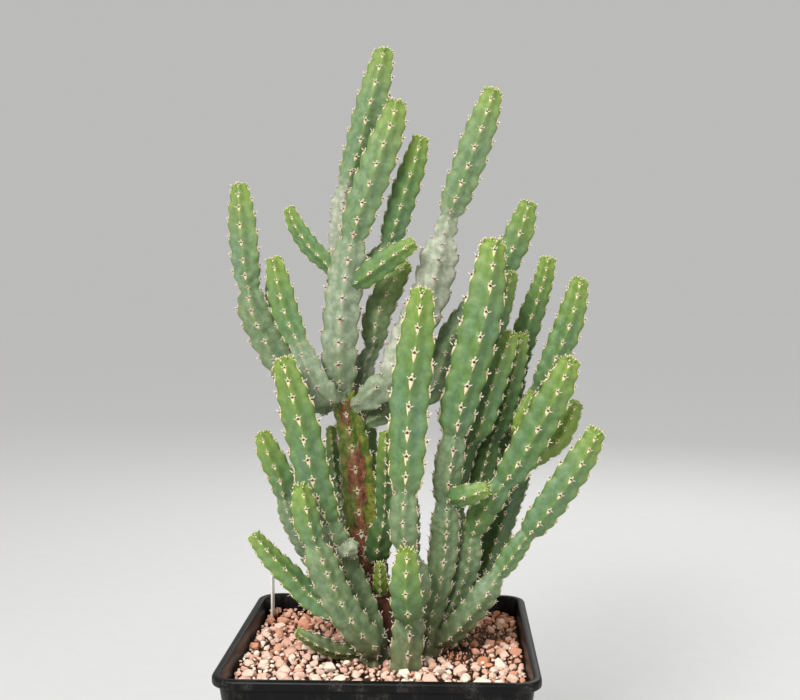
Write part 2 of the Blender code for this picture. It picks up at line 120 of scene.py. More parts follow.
# Stems
RIBS = 5
NECK = 0.62              # radius of a growth's neck, as a part of its belly
TIP = 0.60               # radius of a growing tip, as a part of its belly
SHOULDER = 10.0          # length over which a growth widens from its neck
BURIED = 6.0             # length of a stem's neck that its bearer hides
RING_STEP = 0.9          # distance between the rings of a stem, in millimetres
RIB_LAG = 0.4            # how much lower each rib's bumps sit than the last rib's, in bumps
BUMP_MIDDLE = 0.72       # height on a bump, from 0 to 1, that leaves the crest as it was
AREOLE_PLACE = 0.84      # place of a spine cushion on its bump, from 0 to 1
DOME = 0.46              # height of a tip's dome, as a part of its radius
FILL = 0.75              # roundness of the bumps' outline
SKEW = 1.55              # how far the bumps lean towards the tip

# Each stem: its starting point on the axis of the stem that bears it (or
# under the gravel), then its growths from old to young.  A growth is the
# radius of its belly and the points that its axis passes through.
STEMS = {
    "trunk": [
        (1, 0, -ROOTED_DEPTH),
        (9.7, (0, 0, 8), (-3, 0, 26), (-7, 0, 41), (-11, 0, 67), (-13, 0, 92), (-17, 0, 118), (-22, 0, 138)),
    ],
    "stem_centre": [
        (-21, -1, 130),
        (9.8, (-22, -5, 155), (-20, -5, 181), (-17, -5, 201), (-15, -5, 211)),
        (9.2, (-11, -5, 226), (-4, -5, 245), (5, -5, 270), (7, -5, 279)),
    ],
    "stem_tallest": [
        (-20, 4, 130),
        (7.4, (-24, 14, 158), (-23, 15, 192), (-21, 15, 228), (-19, 15, 240)),
        (8.8, (-14, 15, 254), (-7, 15, 280), (-1, 15, 304), (0, 15, 309)),
    ],
    "stem_centre_left_arm": [
        (-22, -5, 191),
        (5.3, (-29, -5, 201), (-36, -5, 208), (-43, -5, 218), (-47, -5, 227)),
    ],
    "stem_centre_right_arm": [
        (-17, -6, 188),
        (6.6, (-8, -12, 193), (4, -13, 202), (15, -13, 209)),
    ],
    "stem_centre_back_arm": [
        (-18, -3, 190),
        (5.2, (-9, 6, 198), (2, 8, 209)),
        (7.4, (6, 8, 220), (11, 8, 237), (16, 8, 252), (19, 8, 263)),
    ],
    "stem_crown_right": [
        (-15, 5, 130),
        (5.4, (-11, 11, 139), (-10, 12, 149), (-6, 12, 156)),
        (7.8, (-4, 12, 172), (2, 12, 186), (10, 12, 199)),
    ],
    "stem_right_tall": [
        (-15, -2, 127),
        (8.4, (-9, -5, 130), (-2, -5, 135), (4, -1, 138)),
        (10.4, (9, 3, 152), (16, 5, 167), (24, 5, 184), (29, 5, 204), (31, 5, 212)),
        (6.4, (32, 5, 217), (34, 5, 224)),
        (8.6, (39, 5, 238), (44, 5, 251), (53, 5, 277), (56, 5, 286)),
    ],
    "stem_right_back": [
        (-13, 2, 116),
        (6.6, (-5, 4, 120), (2, 7, 124)),
        (7.8, (10, 15, 126), (26, 20, 136), (34, 20, 159), (45, 20, 174), (58, 20, 188)),
        (8.0, (61, 20, 196), (66, 20, 206), (71, 20, 217), (75, 20, 230)),
    ],
    "stem_trunk_front": [
        (-9, -1, 45),
        (7.0, (-3, -9, 53), (-1, -14, 63), (1, -16, 71)),
        (5.4, (2, -16, 90), (2, -16, 114)),
    ],
    "stem_trunk_bud": [
        (-3, -1, 26),
        (4.2, (-1, -11, 36), (-1, -17, 48)),
    ],
    "stem_front_tall": [
        (12, -29, -ROOTED_DEPTH),
        (8.6, (12, -29, 0), (13, -29, 13), (15, -30, 28)),
        (5.8, (19, -34, 38), (19, -37, 48), (14, -38, 59)),
        (7.4, (12, -38, 71), (12, -38, 83), (13, -38, 89)),
        (10.0, (14, -38, 113), (15, -38, 133), (17, -38, 151), (21, -38, 184)),
    ],
    "stem_front_short": [
        (13, -30, 24),
        (8.2, (14, -44, 34), (13, -50, 47), (14, -52, 62)),
    ],
    "stem_right_front": [
        (21, -6, -ROOTED_DEPTH),
        (7.8, (22, -6, 4), (24, -9, 23), (28, -12, 39), (31, -14, 60), (32, -17, 79)),
        (7.8, (33, -19, 96), (36, -21, 115)),
        (10.6, (38, -22, 129), (42, -23, 144), (50, -24, 176), (55, -25, 208)),
    ],
    "stem_right_front_knob": [
        (33, -18, 83),
        (6.0, (38, -27, 85), (44, -31, 87), (52, -33, 90)),
    ],
    "stem_right_inner": [
        (33, -18, 84),
        (5.0, (38, -6, 87), (44, 0, 106), (48, 3, 116)),
        (6.2, (51, 8, 133), (56, 8, 159), (62, 8, 180), (66, 8, 194)),
    ],
    "stem_right_middle": [
        (45, 0, 108),
        (7.4, (49, -5, 115), (54, -6, 132), (58, -6, 145), (65, -6, 163)),
    ],
    "stem_right_lean": [
        (23, -6, 3),
        (6.3, (31, -3, 16), (39, -3, 32), (44, -6, 46), (46, -9, 62)),
        (7.4, (51, -12, 75), (57, -14, 84), (61, -15, 90)),
        (9.2, (68, -16, 100), (75, -17, 113), (88, -19, 138), (93, -20, 150)),
    ],
    "stem_right_second": [
        (50, -13, 73),
        (6.2, (49, -1, 84), (53, 5, 98), (56, 6, 109)),
        (6.6, (60, 6, 118), (63, 6, 128), (67, 6, 144), (71, 6, 162)),
    ],
    "stem_right_low": [
        (23, -6, 2),
        (7.2, (35, -9, 12), (44, -13, 23), (51, -16, 33), (57, -16, 42)),
        (5.8, (61, -15, 47), (67, -15, 56), (73, -15, 64)),
        (8.4, (76, -15, 68), (84, -16, 79), (99, -18, 102), (106, -20, 115)),
    ],
    "stem_right_rear": [
        (32, 15, -ROOTED_DEPTH),
        (7.6, (37, 15, 17), (50, 15, 33), (58, 15, 54), (65, 15, 75), (72, 15, 94)),
        (6.6, (78, 15, 98), (84, 15, 103), (90, 15, 107), (96, 15, 117), (100, 15, 126)),
    ],
    "stem_far_right_inner": [
        (69, 16, 90),
        (7.4, (66, 23, 110), (68, 23, 143), (76, 18, 170), (83, 16, 191), (85, 15, 201)),
    ],
    "stem_far_right": [
        (70, 14, 88),
        (4.6, (71, 5, 105), (74, 6, 124), (80, 8, 136)),
        (7.8, (85, 8, 143), (91, 8, 157), (96, 8, 170), (101, 8, 190)),
    ],
    "stem_far_right_bud": [
        (71, 4, 106),
        (4.6, (70, -3, 117), (76, -3, 133)),
    ],
    "stem_left_front": [
        (-4, -17, -ROOTED_DEPTH),
        (8.2, (-4, -16, 4), (-9, -15, 23), (-15, -17, 39), (-21, -21, 55), (-26, -25, 71)),
        (9.4, (-32, -28, 90), (-37, -31, 115), (-40, -33, 128), (-46, -35, 151)),
    ],
    "stem_left_stub": [
        (-20, -21, 53),
        (5.6, (-17, -29, 57), (-13, -35, 62)),
    ],
    "stem_left_low_front": [
        (-4, -18, 0),
        (8.4, (-6, -28, 12), (-12, -34, 21), (-19, -38, 33), (-26, -41, 49), (-31, -44, 64)),
        (7.0, (-35, -46, 78), (-37, -48, 92)),
    ],
    "stem_left_spreading": [
        (-16, -35, 27),
        (6.5, (-27, -29, 28), (-37, -22, 33), (-46, -20, 42), (-56, -20, 52), (-64, -20, 62)),
    ],
    "stem_left_ground": [
        (-6, -17, 4),
        (4.8, (-14, -19, 4), (-23, -20, 5), (-33, -20, 9), (-42, -18, 13)),
    ],
    "stem_left_middle": [
        (-1, 0, 12),
        (6.2, (-13, 2, 22), (-27, 0, 33), (-40, -6, 56), (-47, -8, 71), (-50, -8, 80)),
        (7.2, (-52, -8, 92), (-57, -8, 102), (-61, -8, 112)),
    ],
    "stem_left_tall": [
        (-19, 2, 128),
        (8.8, (-28, 5, 129), (-38, 5, 132), (-55, 5, 152), (-66, 5, 173), (-69, 5, 186)),
        (8.0, (-71, 5, 200), (-73, 5, 225), (-74, 5, 239)),
    ],
    "stem_left_inner": [
        (-21, -3, 132),
        (7.4, (-27, -11, 133), (-34, -14, 141), (-38, -14, 150), (-41, -12, 158)),
        (7.2, (-46, -9, 168), (-50, -7, 179), (-55, -5, 201)),
    ],
    "stem_behind_trunk_left": [
        (-6, 2, 38),
        (4.8, (-14, 16, 46), (-22, 27, 60), (-28, 28, 89), (-30, 28, 111)),
    ],
    "stem_behind_trunk": [
        (-9, 1, 52),
        (4.4, (-14, 13, 60), (-19, 17, 72), (-20, 17, 86), (-21, 17, 106)),
    ],
    "stem_rear_centre": [
        (0, 2, 12),
        (6.0, (-3, 17, 26), (-7, 34, 52), (-9, 42, 78)),
        (6.2, (-11, 46, 94), (-14, 50, 122)),
    ],
    "stem_rear_front_right": [
        (8, 18, -ROOTED_DEPTH),
        (6.0, (9, 22, 10), (12, 34, 40), (12, 42, 72)),
        (6.4, (12, 46, 92), (13, 52, 140)),
    ],
    "stem_rear_right": [
        (21, 24, -ROOTED_DEPTH),
        (5.8, (25, 29, 14), (33, 40, 42), (38, 46, 70)),
        (6.0, (39, 50, 84), (40, 54, 106)),
    ],
    "stem_rear_far_right": [
        (38, 15, 18),
        (5.6, (46, 27, 28), (57, 38, 50), (62, 44, 74)),
        (5.6, (64, 46, 84), (66, 50, 100)),
    ],
    "stem_rear_left": [
        (-1, 1, 8),
        (5.6, (-13, 17, 15), (-24, 32, 32), (-34, 44, 58), (-37, 48, 72)),
        (5.8, (-39, 51, 84), (-42, 54, 100)),
    ],
    "stem_rear_low": [
        (0, 3, 3),
        (5.4, (-3, 24, 8), (-10, 40, 14), (-18, 54, 28), (-24, 62, 46)),
    ],
    "stem_rear_low_right": [
        (23, 27, 3),
        (5.2, (29, 42, 12), (37, 56, 32), (40, 62, 58)),
    ],
    "stem_rear_crown": [
        (-16, 1, 110),
        (6.0, (-17, 16, 119), (-22, 29, 142), (-25, 36, 166)),
        (6.0, (-25, 39, 180), (-22, 42, 204)),
    ],
    "stem_rear_far_left": [
        (-53, 5, 149),
        (5.8, (-58, 19, 156), (-61, 31, 178), (-60, 38, 202)),
    ],
    "stem_rear_outer_right": [
        (78, 7, 130),
        (5.2, (84, 22, 138), (91, 33, 156), (96, 39, 173)),
    ],
}
OLD_STEMS = ("trunk", "stem_left_stub")
YOUNG_STEMS = ("stem_trunk_bud", "stem_far_right_bud")

# How each growth's skin looks, one letter for each growth of a stem:
# b bark-covered, p palest and oldest, o old, h half old, w waxy, g green, d deep green painted as shade on
# growths that sit in shadow, y yellow-green.
# The numbers are its age, painted shade (a darker green), freshness and cork.
SKINS = {
    "b": (0.25, 0.35, 0.35, 1.0),
    "p": (1.0, 0.0, 0.0, 0.0),
    "o": (0.56, 0.05, 0.0, 0.02),
    "h": (0.32, 0.25, 0.0, 0.10),
    "w": (0.20, 0.02, 0.04, 0.0),
    "g": (0.05, 0.08, 0.08, 0.0),
    "d": (0.12, 1.0, 0.0, 0.05),
    "y": (0.0, 0.25, 0.85, 0.0),
}
LOOKS = {
    "trunk": "b",
    "stem_centre": "ow",
    "stem_tallest": "pw",
    "stem_crown_right": "oh",
    "stem_right_tall": "oppw",
    "stem_right_back": "hhg",
    "stem_trunk_front": "dd",
    "stem_trunk_bud": "y",
    "stem_front_tall": "hhhg",
    "stem_right_front": "hhg",
    "stem_right_inner": "dg",
    "stem_right_lean": "hgg",
    "stem_right_second": "dg",
    "stem_right_low": "hgg",
    "stem_right_rear": "dy",
    "stem_far_right": "dg",
    "stem_far_right_bud": "y",
    "stem_left_front": "hg",
    "stem_left_stub": "o",
    "stem_left_low_front": "hg",
    "stem_left_ground": "d",
    "stem_left_middle": "hg",
    "stem_left_tall": "hw",
    "stem_left_inner": "og",
    "stem_behind_trunk_left": "d",
    "stem_behind_trunk": "d",
}

# Distance between spine cushions, as a part of the belly radius
SPACING = {
    "stem_front_tall": 1.28,
    "stem_right_front": 1.18,
    "stem_left_front": 1.12,
}
USUAL_SPACING = 1.14

# Length of the shields, where it isn't the usual one
SHIELD_LENGTH = {"stem_front_tall": 1.4, "stem_right_front": 1.3, "stem_left_front": 1.25}

# Turn of a stem about its own axis, in degrees, where a rib doesn't face -Y
TURNS = {
    "stem_left_low_front": 20.0,
    "stem_left_spreading": 24.0,
    "stem_left_tall": -4.0,
    "stem_right_front": 10.0,
    "stem_front_short": 4.0,
}


# Stage, in metres and degrees
LIT_POINT = (0.0, 0.0, 0.26)
CAMERA_PLACE = (0.0353, -0.5935, 0.3106)
CAMERA_TURN = (2.57, -3.18, -0.15)       # yaw, pitch and roll
FLOOR_RADIUS = 12.0


# ------------------------------------------------------------------ settings

class PotSettings(bpy.types.PropertyGroup):
    """Finish of the pot and the label."""

    plastic: FloatVectorProperty(
        name="Plastic", description="Colour of the pot's plastic",
        subtype="COLOR", default=(0.0035, 0.0032, 0.0032), min=0.0, max=1.0,
    )
    dust: FloatVectorProperty(
        name="Dust", description="Colour of dried water and dust on the pot",
        subtype="COLOR", default=(0.30, 0.27, 0.25), min=0.0, max=1.0,
    )
    drain_radius: FloatProperty(
        name="Drain Radius", description="Radius of each drain hole",
        subtype="DISTANCE", default=DRAIN_RADIUS * MM, min=0.001, max=0.01,
    )
    label: FloatVectorProperty(
        name="Label", description="Colour of the blank label",
        subtype="COLOR", default=(0.86, 0.87, 0.85), min=0.0, max=1.0,
    )


class GravelSettings(bpy.types.PropertyGroup):
    """Sizes and colours of the stones and of the soil under them."""

    largest: FloatProperty(
        name="Largest Stone", description="Radius of the largest stones",
        subtype="DISTANCE", default=4.5 * MM, min=0.002, max=0.01,
    )
    smallest: FloatProperty(
        name="Smallest Stone", description="Radius of the smallest stones",
        subtype="DISTANCE", default=1.25 * MM, min=0.0005, max=0.003,
    )
    grit_count: IntProperty(
        name="Grit", description="Number of fine grains between the stones",
        default=2600, min=0, max=6000,
    )
    seed: IntProperty(
        name="Seed", description="Seed of the stones' places and shapes", default=11,
    )
    pink: FloatVectorProperty(
        name="Pink Stone", description="Colour of the pink stones",
        subtype="COLOR", default=(0.74, 0.435, 0.325), min=0.0, max=1.0,
    )
    pale: FloatVectorProperty(
        name="Pale Stone", description="Colour of the palest stones",
        subtype="COLOR", default=(0.93, 0.78, 0.64), min=0.0, max=1.0,
    )
    brown: FloatVectorProperty(
        name="Brown Stone", description="Colour of the orange-brown stones",
        subtype="COLOR", default=(0.54, 0.22, 0.115), min=0.0, max=1.0,
    )
    soil: FloatVectorProperty(
        name="Soil", description="Colour of the dark soil and fines",
        subtype="COLOR", default=(0.040, 0.022, 0.014), min=0.0, max=1.0,
    )


class StemSettings(bpy.types.PropertyGroup):
    """Shape and colours of the stems."""

    sides: IntProperty(
        name="Sides", description="Points round a stem", default=50, min=20, max=80,
    )
    rib_depth: FloatProperty(
        name="Rib Depth", description="Valley depth as a part of the crest radius",
        subtype="FACTOR", default=0.235, min=0.0, max=0.5,
    )
    bump_height: FloatProperty(
        name="Bump Height", description="Height of a crest's bumps as a part of its radius",
        subtype="FACTOR", default=0.175, min=0.0, max=0.3,
    )
    spine_length: FloatProperty(
        name="Spine Length", description="Length of a spine on a full growth",
        subtype="DISTANCE", default=2.25 * MM, min=0.0005, max=0.01,
    )
    green: FloatVectorProperty(
        name="Green", description="Waxy green of a grown stem",
        subtype="COLOR", default=(0.113, 0.226, 0.050), min=0.0, max=1.0,
    )
    valley: FloatVectorProperty(
        name="Valley", description="Bluish green of the valleys between ribs",
        subtype="COLOR", default=(0.092, 0.206, 0.102), min=0.0, max=1.0,
    )
    # The deep green is a darker green painted as shade on the growths that sit in shadow.
    deep: FloatVectorProperty(
        name="Deep Green", description="Green of the shaded growths",
        subtype="COLOR", default=(0.046, 0.108, 0.016), min=0.0, max=1.0,
    )
    fresh: FloatVectorProperty(
        name="Fresh Green", description="Yellow-green of the growing tips",
        subtype="COLOR", default=(0.245, 0.360, 0.045), min=0.0, max=1.0,
    )
    old: FloatVectorProperty(
        name="Old Green", description="Pale grey-green of the oldest growths",
        subtype="COLOR", default=(0.410, 0.455, 0.315), min=0.0, max=1.0,
    )
    cork: FloatVectorProperty(
        name="Cork", description="Brown of the corky ribs",
        subtype="COLOR", default=(0.300, 0.120, 0.045), min=0.0, max=1.0,
    )
    cushion: FloatVectorProperty(
        name="Cushion", description="Cream of the horny shields under the spines",
        subtype="COLOR", default=(0.740, 0.610, 0.400), min=0.0, max=1.0,
    )


class StageSettings(bpy.types.PropertyGroup):
    """Camera, lights and floor."""

    lens: FloatProperty(
        name="Lens", description="Focal length in millimetres", default=52.08, min=20.0, max=200.0,
    )
    floor: FloatVectorProperty(
        name="Floor", description="Colour of the plain floor",
        subtype="COLOR", default=(0.690, 0.689, 0.683), min=0.0, max=1.0,
    )
    key_power: FloatProperty(
        name="Key", description="Power of the main soft light in watts", default=16.0, min=0.0,
    )


# ------------------------------------------------------------------ node trees

def add_node(tree, kind, settings=None, sockets=None):
    """Add a node, apply its settings, then give or link its sockets."""
    made = tree.nodes.new(kind)
    for key, value in (settings or {}).items():
        if key == "stops":
            ramp = made.color_ramp
            while len(ramp.elements) < len(value):
                ramp.elements.new(1.0)
            for element, (place, colour) in zip(ramp.elements, value):
                element.position = place
                element.color = (*colour, 1.0)
        else:
            setattr(made, key, value)
    for key, value in (sockets or {}).items():
        if isinstance(value, Value):
            tree.links.new(value.socket, made.inputs[key])
        elif isinstance(value, bpy.types.NodeSocket):
            tree.links.new(value, made.inputs[key])
        else:
            made.inputs[key].default_value = value
    return made


def sums(tree, operation, *terms):
    """A Math node on sockets and numbers."""
    made = add_node(tree, "ShaderNodeMath", {"operation": operation}, dict(enumerate(terms)))
    return Value(tree, made.outputs[0])


class Value:
    """A number socket of a tree, on which sums can be written."""

    def __init__(self, tree, socket):
        self.tree = tree
        self.socket = socket

    def __add__(self, other):
        return sums(self.tree, "ADD", self, other)

    def __radd__(self, other):
        return sums(self.tree, "ADD", other, self)

    def __sub__(self, other):
        return sums(self.tree, "SUBTRACT", self, other)

    def __rsub__(self, other):
        return sums(self.tree, "SUBTRACT", other, self)

    def __mul__(self, other):
        return sums(self.tree, "MULTIPLY", self, other)

    def __rmul__(self, other):
        return sums(self.tree, "MULTIPLY", other, self)

    def __truediv__(self, other):
        return sums(self.tree, "DIVIDE", self, other)

    def __pow__(self, other):
        return sums(self.tree, "POWER", self, other)

    def __abs__(self):
        return sums(self.tree, "ABSOLUTE", self)

    def sine(self):
        return sums(self.tree, "SINE", self)

    def cosine(self):
        return sums(self.tree, "COSINE", self)

    def part(self):
        return sums(self.tree, "FRACT", self)

    def rounded(self):
        return sums(self.tree, "ROUND", self)

    def within(self, low, high):
        """0 below low, 1 above high, and a smooth rise between."""
        made = add_node(
            self.tree, "ShaderNodeMapRange", {"interpolation_type": "SMOOTHSTEP"},
            {"Value": self, "From Min": low, "From Max": high},
        )
        return Value(self.tree, made.outputs[0])

    def clipped(self):
        return sums(self.tree, "MINIMUM", sums(self.tree, "MAXIMUM", self, 0.0), 1.0)


class Finish:
    """A material in the making: its tree, its shader and what feeds them."""

    def __init__(self, name, fixed):
        self.material = bpy.data.materials.new(name)
        self.material.use_nodes = True
        self.tree = self.material.node_tree
        self.shader = self.tree.nodes["Principled BSDF"]
        for key, value in fixed.items():
            self.shader.inputs[key].default_value = value
        self.place = self.node("ShaderNodeTexCoord").outputs["Object"]

    def node(self, kind, settings=None, sockets=None):
        return add_node(self.tree, kind, settings, sockets)

    def attribute(self, name):
        made = self.node("ShaderNodeAttribute", {"attribute_name": name})
        return Value(self.tree, made.outputs["Fac"])

    def height(self):
        """Height over the floor, in metres."""
        made = self.node("ShaderNodeSeparateXYZ", None, {"Vector": self.place})
        return Value(self.tree, made.outputs["Z"])

    def noise(self, scale, detail=2.0, roughness=0.5, stretch=None):
        """Noise with scale features in a metre, squeezed along each axis by stretch."""
        place = self.place
        if stretch:
            place = self.node(
                "ShaderNodeMapping", {"vector_type": "POINT"},
                {"Vector": place, "Scale": stretch},
            ).outputs["Vector"]
        made = self.node(
            "ShaderNodeTexNoise", None,
            {"Vector": place, "Scale": scale, "Detail": detail, "Roughness": roughness},
        )
        return Value(self.tree, made.outputs["Fac"])

    def cells(self, scale):
        """Distance from the middle of the nearest cell, with scale cells in a metre."""
        made = self.node("ShaderNodeTexVoronoi", None, {"Vector": self.place, "Scale": scale})
        return Value(self.tree, made.outputs["Distance"])

    def mix(self, share, one, other):
        """A colour between two, by a share from 0 to 1."""
        one = (*one, 1.0) if isinstance(one, tuple) else one
        other = (*other, 1.0) if isinstance(other, tuple) else other
        made = self.node(
            "ShaderNodeMix", {"data_type": "RGBA", "clamp_factor": True},
            {0: share, 6: one, 7: other},
        )
        return made.outputs[2]

    def scaled(self, colour, share):
        """A colour made darker or brighter by a number."""
        colour = (*colour, 1.0) if isinstance(colour, tuple) else colour
        grey = self.node(
            "ShaderNodeCombineColor", None, {"Red": share, "Green": share, "Blue": share},
        )
        made = self.node(
            "ShaderNodeMix", {"data_type": "RGBA", "blend_type": "MULTIPLY"},
            {0: 1.0, 6: colour, 7: grey.outputs[0]},
        )
        return made.outputs[2]

    def finish(self, colour=None, roughness=None, relief=None, depth=1.0, strength=1.0):
        """Feed the shader; relief is a height as a share of depth, in metres."""
        if colour is not None:
            self.tree.links.new(colour, self.shader.inputs["Base Color"])
        if roughness is not None:
            self.tree.links.new(roughness.socket, self.shader.inputs["Roughness"])
        if relief is not None:
            made = self.node(
                "ShaderNodeBump", None,
                {"Height": relief, "Strength": strength, "Distance": depth},
            )
            self.tree.links.new(made.outputs[0], self.shader.inputs["Normal"])
        return self.material


def geometry_tree(name, inputs):
    """A new Geometry Nodes tree with named inputs, and its input node."""
    tree = bpy.data.node_groups.new(name, "GeometryNodeTree")
    tree.interface.new_socket("Geometry", in_out="INPUT", socket_type="NodeSocketGeometry")
    tree.interface.new_socket("Geometry", in_out="OUTPUT", socket_type="NodeSocketGeometry")
    for label, kind in inputs.items():
        tree.interface.new_socket(label, in_out="INPUT", socket_type="NodeSocket" + kind)
    return tree, tree.nodes.new("NodeGroupInput")


def named(tree, name, kind="FLOAT"):
    """The socket of a named attribute."""
    made = add_node(
        tree, "GeometryNodeInputNamedAttribute", {"data_type": kind}, {"Name": name},
    )
    return made.outputs["Attribute"]


def stored(tree, geometry, name, value):
    """Geometry with a number kept on its points as a named attribute."""
    made = add_node(
        tree, "GeometryNodeStoreNamedAttribute", {"data_type": "FLOAT", "domain": "POINT"},
        {"Geometry": geometry, "Name": name, "Value": value},
    )
    return made.outputs["Geometry"]


def close_tree(tree, geometry, material):
    """Turn what a tree made into plain geometry with a material."""
    real = add_node(tree, "GeometryNodeRealizeInstances", None, {"Geometry": geometry})
    painted = add_node(
        tree, "GeometryNodeSetMaterial", None,
        {"Geometry": real.outputs["Geometry"], "Material": material},
    )
    last = tree.nodes.new("NodeGroupOutput")
    tree.links.new(painted.outputs["Geometry"], last.inputs["Geometry"])


def run_tree(tree, carrier, values):
    """Run a tree on an object, remove the object, and return the plain mesh."""
    step = carrier.modifiers.new(tree.name, "NODES")
    step.node_group = tree
    for item in tree.interface.items_tree:
        if item.item_type == "SOCKET" and item.in_out == "INPUT" and item.name in values:
            step[item.identifier] = values[item.name]
    graph = bpy.context.evaluated_depsgraph_get()
    made = bpy.data.meshes.new_from_object(
        carrier.evaluated_get(graph), preserve_all_data_layers=True, depsgraph=graph,
    )
    carrier.modifiers.remove(step)
    bpy.data.objects.remove(carrier, do_unlink=True)
    return made


# ------------------------------------------------------------------ meshes

def link(name, mesh_data):
    made = bpy.data.objects.new(name, mesh_data)
    bpy.context.scene.collection.objects.link(made)
    return made


def mesh_of(bm, name):
    made = bpy.data.meshes.new(name)
    bm.to_mesh(made)
    bm.free()
    return made


def point_mesh(name, places, numbers=None, vectors=None, edges=()):
    """Loose points with named numbers and vectors on them."""
    made = bpy.data.meshes.new(name)
    made.from_pydata([tuple(p) for p in places], list(edges), [])
    for key, values in (numbers or {}).items():
        layer = made.attributes.new(key, "FLOAT", "POINT")
        layer.data.foreach_set("value", np.asarray(values, dtype=np.float32))
    for key, values in (vectors or {}).items():
        layer = made.attributes.new(key, "FLOAT_VECTOR", "POINT")
        layer.data.foreach_set("vector", np.asarray(values, dtype=np.float32).ravel())
    return made


def tidy_normals(mesh_data):
    """Turn all faces outwards."""
    bm = bmesh.new()
    bm.from_mesh(mesh_data)
    bmesh.ops.recalc_face_normals(bm, faces=bm.faces)
    bm.to_mesh(mesh_data)
    bm.free()


def drop_attributes(mesh_data, names):
    """Remove working attributes that no finish reads."""
    for name in names:
        if name in mesh_data.attributes:
            mesh_data.attributes.remove(mesh_data.attributes[name])


def lifted(rows):
    """Points given from the middle of the gravel's surface, in the frame's metres."""
    return (np.asarray(rows) + (0.0, 0.0, GRAVEL_TOP)) * MM


def set_piece(name, mesh_data, material, node=None, smooth=None):
    """Show a finished mesh as a piece of the object."""
    mesh_data.name = name
    mesh_data.materials.clear()
    mesh_data.materials.append(material)
    made = link(name, mesh_data)
    if smooth is not None:
        mesh_data.shade_smooth()
        mesh_data.set_sharp_from_angle(angle=math.radians(smooth))
    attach(made, "root")
    if node:
        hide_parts(node)
    return made


# ------------------------------------------------------------------ pot

def pot_width(height):
    """Outside width of the pot's wall at a height above its foot."""
    return POT_FOOT + (POT_TOP - POT_FOOT) * height / POT_HEIGHT


def square_ring(half, corner, height, steps=9):
    """Points of a square with rounded corners, in millimetres."""
    points = []
    for quarter in range(4):
        turn = quarter * math.pi / 2.0
        middle = Matrix.Rotation(turn, 2) @ Vector((half - corner, half - corner))
        for step in range(steps):
            angle = turn + math.pi / 2.0 * step / (steps - 1)
            x = middle.x + corner * math.cos(angle)
            y = middle.y + corner * math.sin(angle)
            points.append(Vector((x, y, height)) * MM)
    return points


def pot_rings():
    """Rings from the foot, up the outside, over the lip and down the inside."""
    rings = []

    def ring(height, half, inset):
        rings.append(square_ring(half - inset, POT_CORNER - inset, height))

    lip_low = POT_HEIGHT - LIP_DEPTH
    foot_top = FOOT_EDGE[-1][1]
    walls = 8
    for inset, height in FOOT_EDGE:
        ring(height, pot_width(height) / 2.0, inset)
    for step in range(1, walls + 1):
        height = foot_top + (lip_low - foot_top - 0.4) * step / walls
        ring(height, pot_width(height) / 2.0, 0.0)
    for out, up in LIP_UNDER:
        ring(lip_low + up, POT_TOP / 2.0, -out)
    for out, down in LIP_OVER:
        ring(POT_HEIGHT - down, POT_TOP / 2.0, -out)
    for height in INSIDE_HEIGHTS:
        # The wall turns into the floor through a small fillet.
        fillet = max(0.0, 6.0 - height) * 0.25
        ring(height, pot_width(height) / 2.0, POT_WALL + fillet)
    return rings


def loft(rings, name):
    """A closed mesh through rings of points, from the first to the last."""
    bm = bmesh.new()
    rows = [[bm.verts.new(point) for point in ring] for ring in rings]
    count = len(rings[0])
    for below, above in zip(rows, rows[1:]):
        for k in range(count):
            after = (k + 1) % count
            bm.faces.new((below[k], below[after], above[after], above[k]))
    bm.faces.new(list(reversed(rows[0])))
    bm.faces.new(rows[-1])
    bmesh.ops.recalc_face_normals(bm, faces=bm.faces)
    return mesh_of(bm, name)


def drill_drain(pot, corner, radius):
    """Cut the drain hole that lies towards one corner of the pot's floor."""
    turn = math.radians(45.0 + 90.0 * corner)
    at = Vector((math.cos(turn), math.sin(turn), 0.0)) * DRAIN_FROM_MIDDLE * MM
    bm = bmesh.new()
    bmesh.ops.create_cone(
        bm, cap_ends=True, segments=28, radius1=radius, radius2=radius, depth=8.0 * MM,
    )
    bmesh.ops.translate(bm, verts=bm.verts, vec=at)
    drill = link("drain_drill", mesh_of(bm, "drain_drill"))
    step = pot.modifiers.new("drain", "BOOLEAN")
    step.operation = "DIFFERENCE"
    step.solver = "EXACT"
    step.object = drill
    graph = bpy.context.evaluated_depsgraph_get()
    pot.data = bpy.data.meshes.new_from_object(pot.evaluated_get(graph))
    pot.modifiers.clear()
    bpy.data.objects.remove(drill, do_unlink=True)


def pot_plastic(settings):
    """Black moulded plastic, satin, with dried water marks near the rim."""
    finish = Finish("pot_plastic", {"Specular IOR Level": 0.14})
    broad = finish.noise(38.0, 4.0, 0.6)
    fine = finish.noise(900.0, 3.0, 0.65)
    streak = finish.noise(160.0, 3.0, 0.6, (1.0, 1.0, 0.12))
    rim = finish.height().within(0.092, 0.128)
    dusty = (broad * 0.5 + streak * 0.5).within(0.47, 0.66) * fine.within(0.35, 0.7)
    dusty = dusty * (0.25 + rim * 0.75)
    colour = finish.mix(dusty * 0.22, tuple(settings.plastic), tuple(settings.dust))
    roughness = 0.30 + dusty * 0.4 + broad * 0.12
    relief = fine * 0.25 + streak * 0.35 + broad * 0.4
    return finish.finish(colour, roughness, relief, 0.25 * MM, 0.5)


class EUPHORBIA_OT_pot(bpy.types.Operator):
    """Make the square pot with its rolled lip and drain holes"""

    bl_idname = "euphorbia.pot"
    bl_label = "Pot"

    def execute(self, context):
        settings = context.scene.euphorbia_pot
        pot = link("pot_cut", loft(pot_rings(), "pot"))
        for corner in range(4):
            drill_drain(pot, corner, settings.drain_radius)
        made = pot.data
        bpy.data.objects.remove(pot, do_unlink=True)
        set_piece("pot_shell", made, pot_plastic(settings), "pot", 50.0)
        return {"FINISHED"}


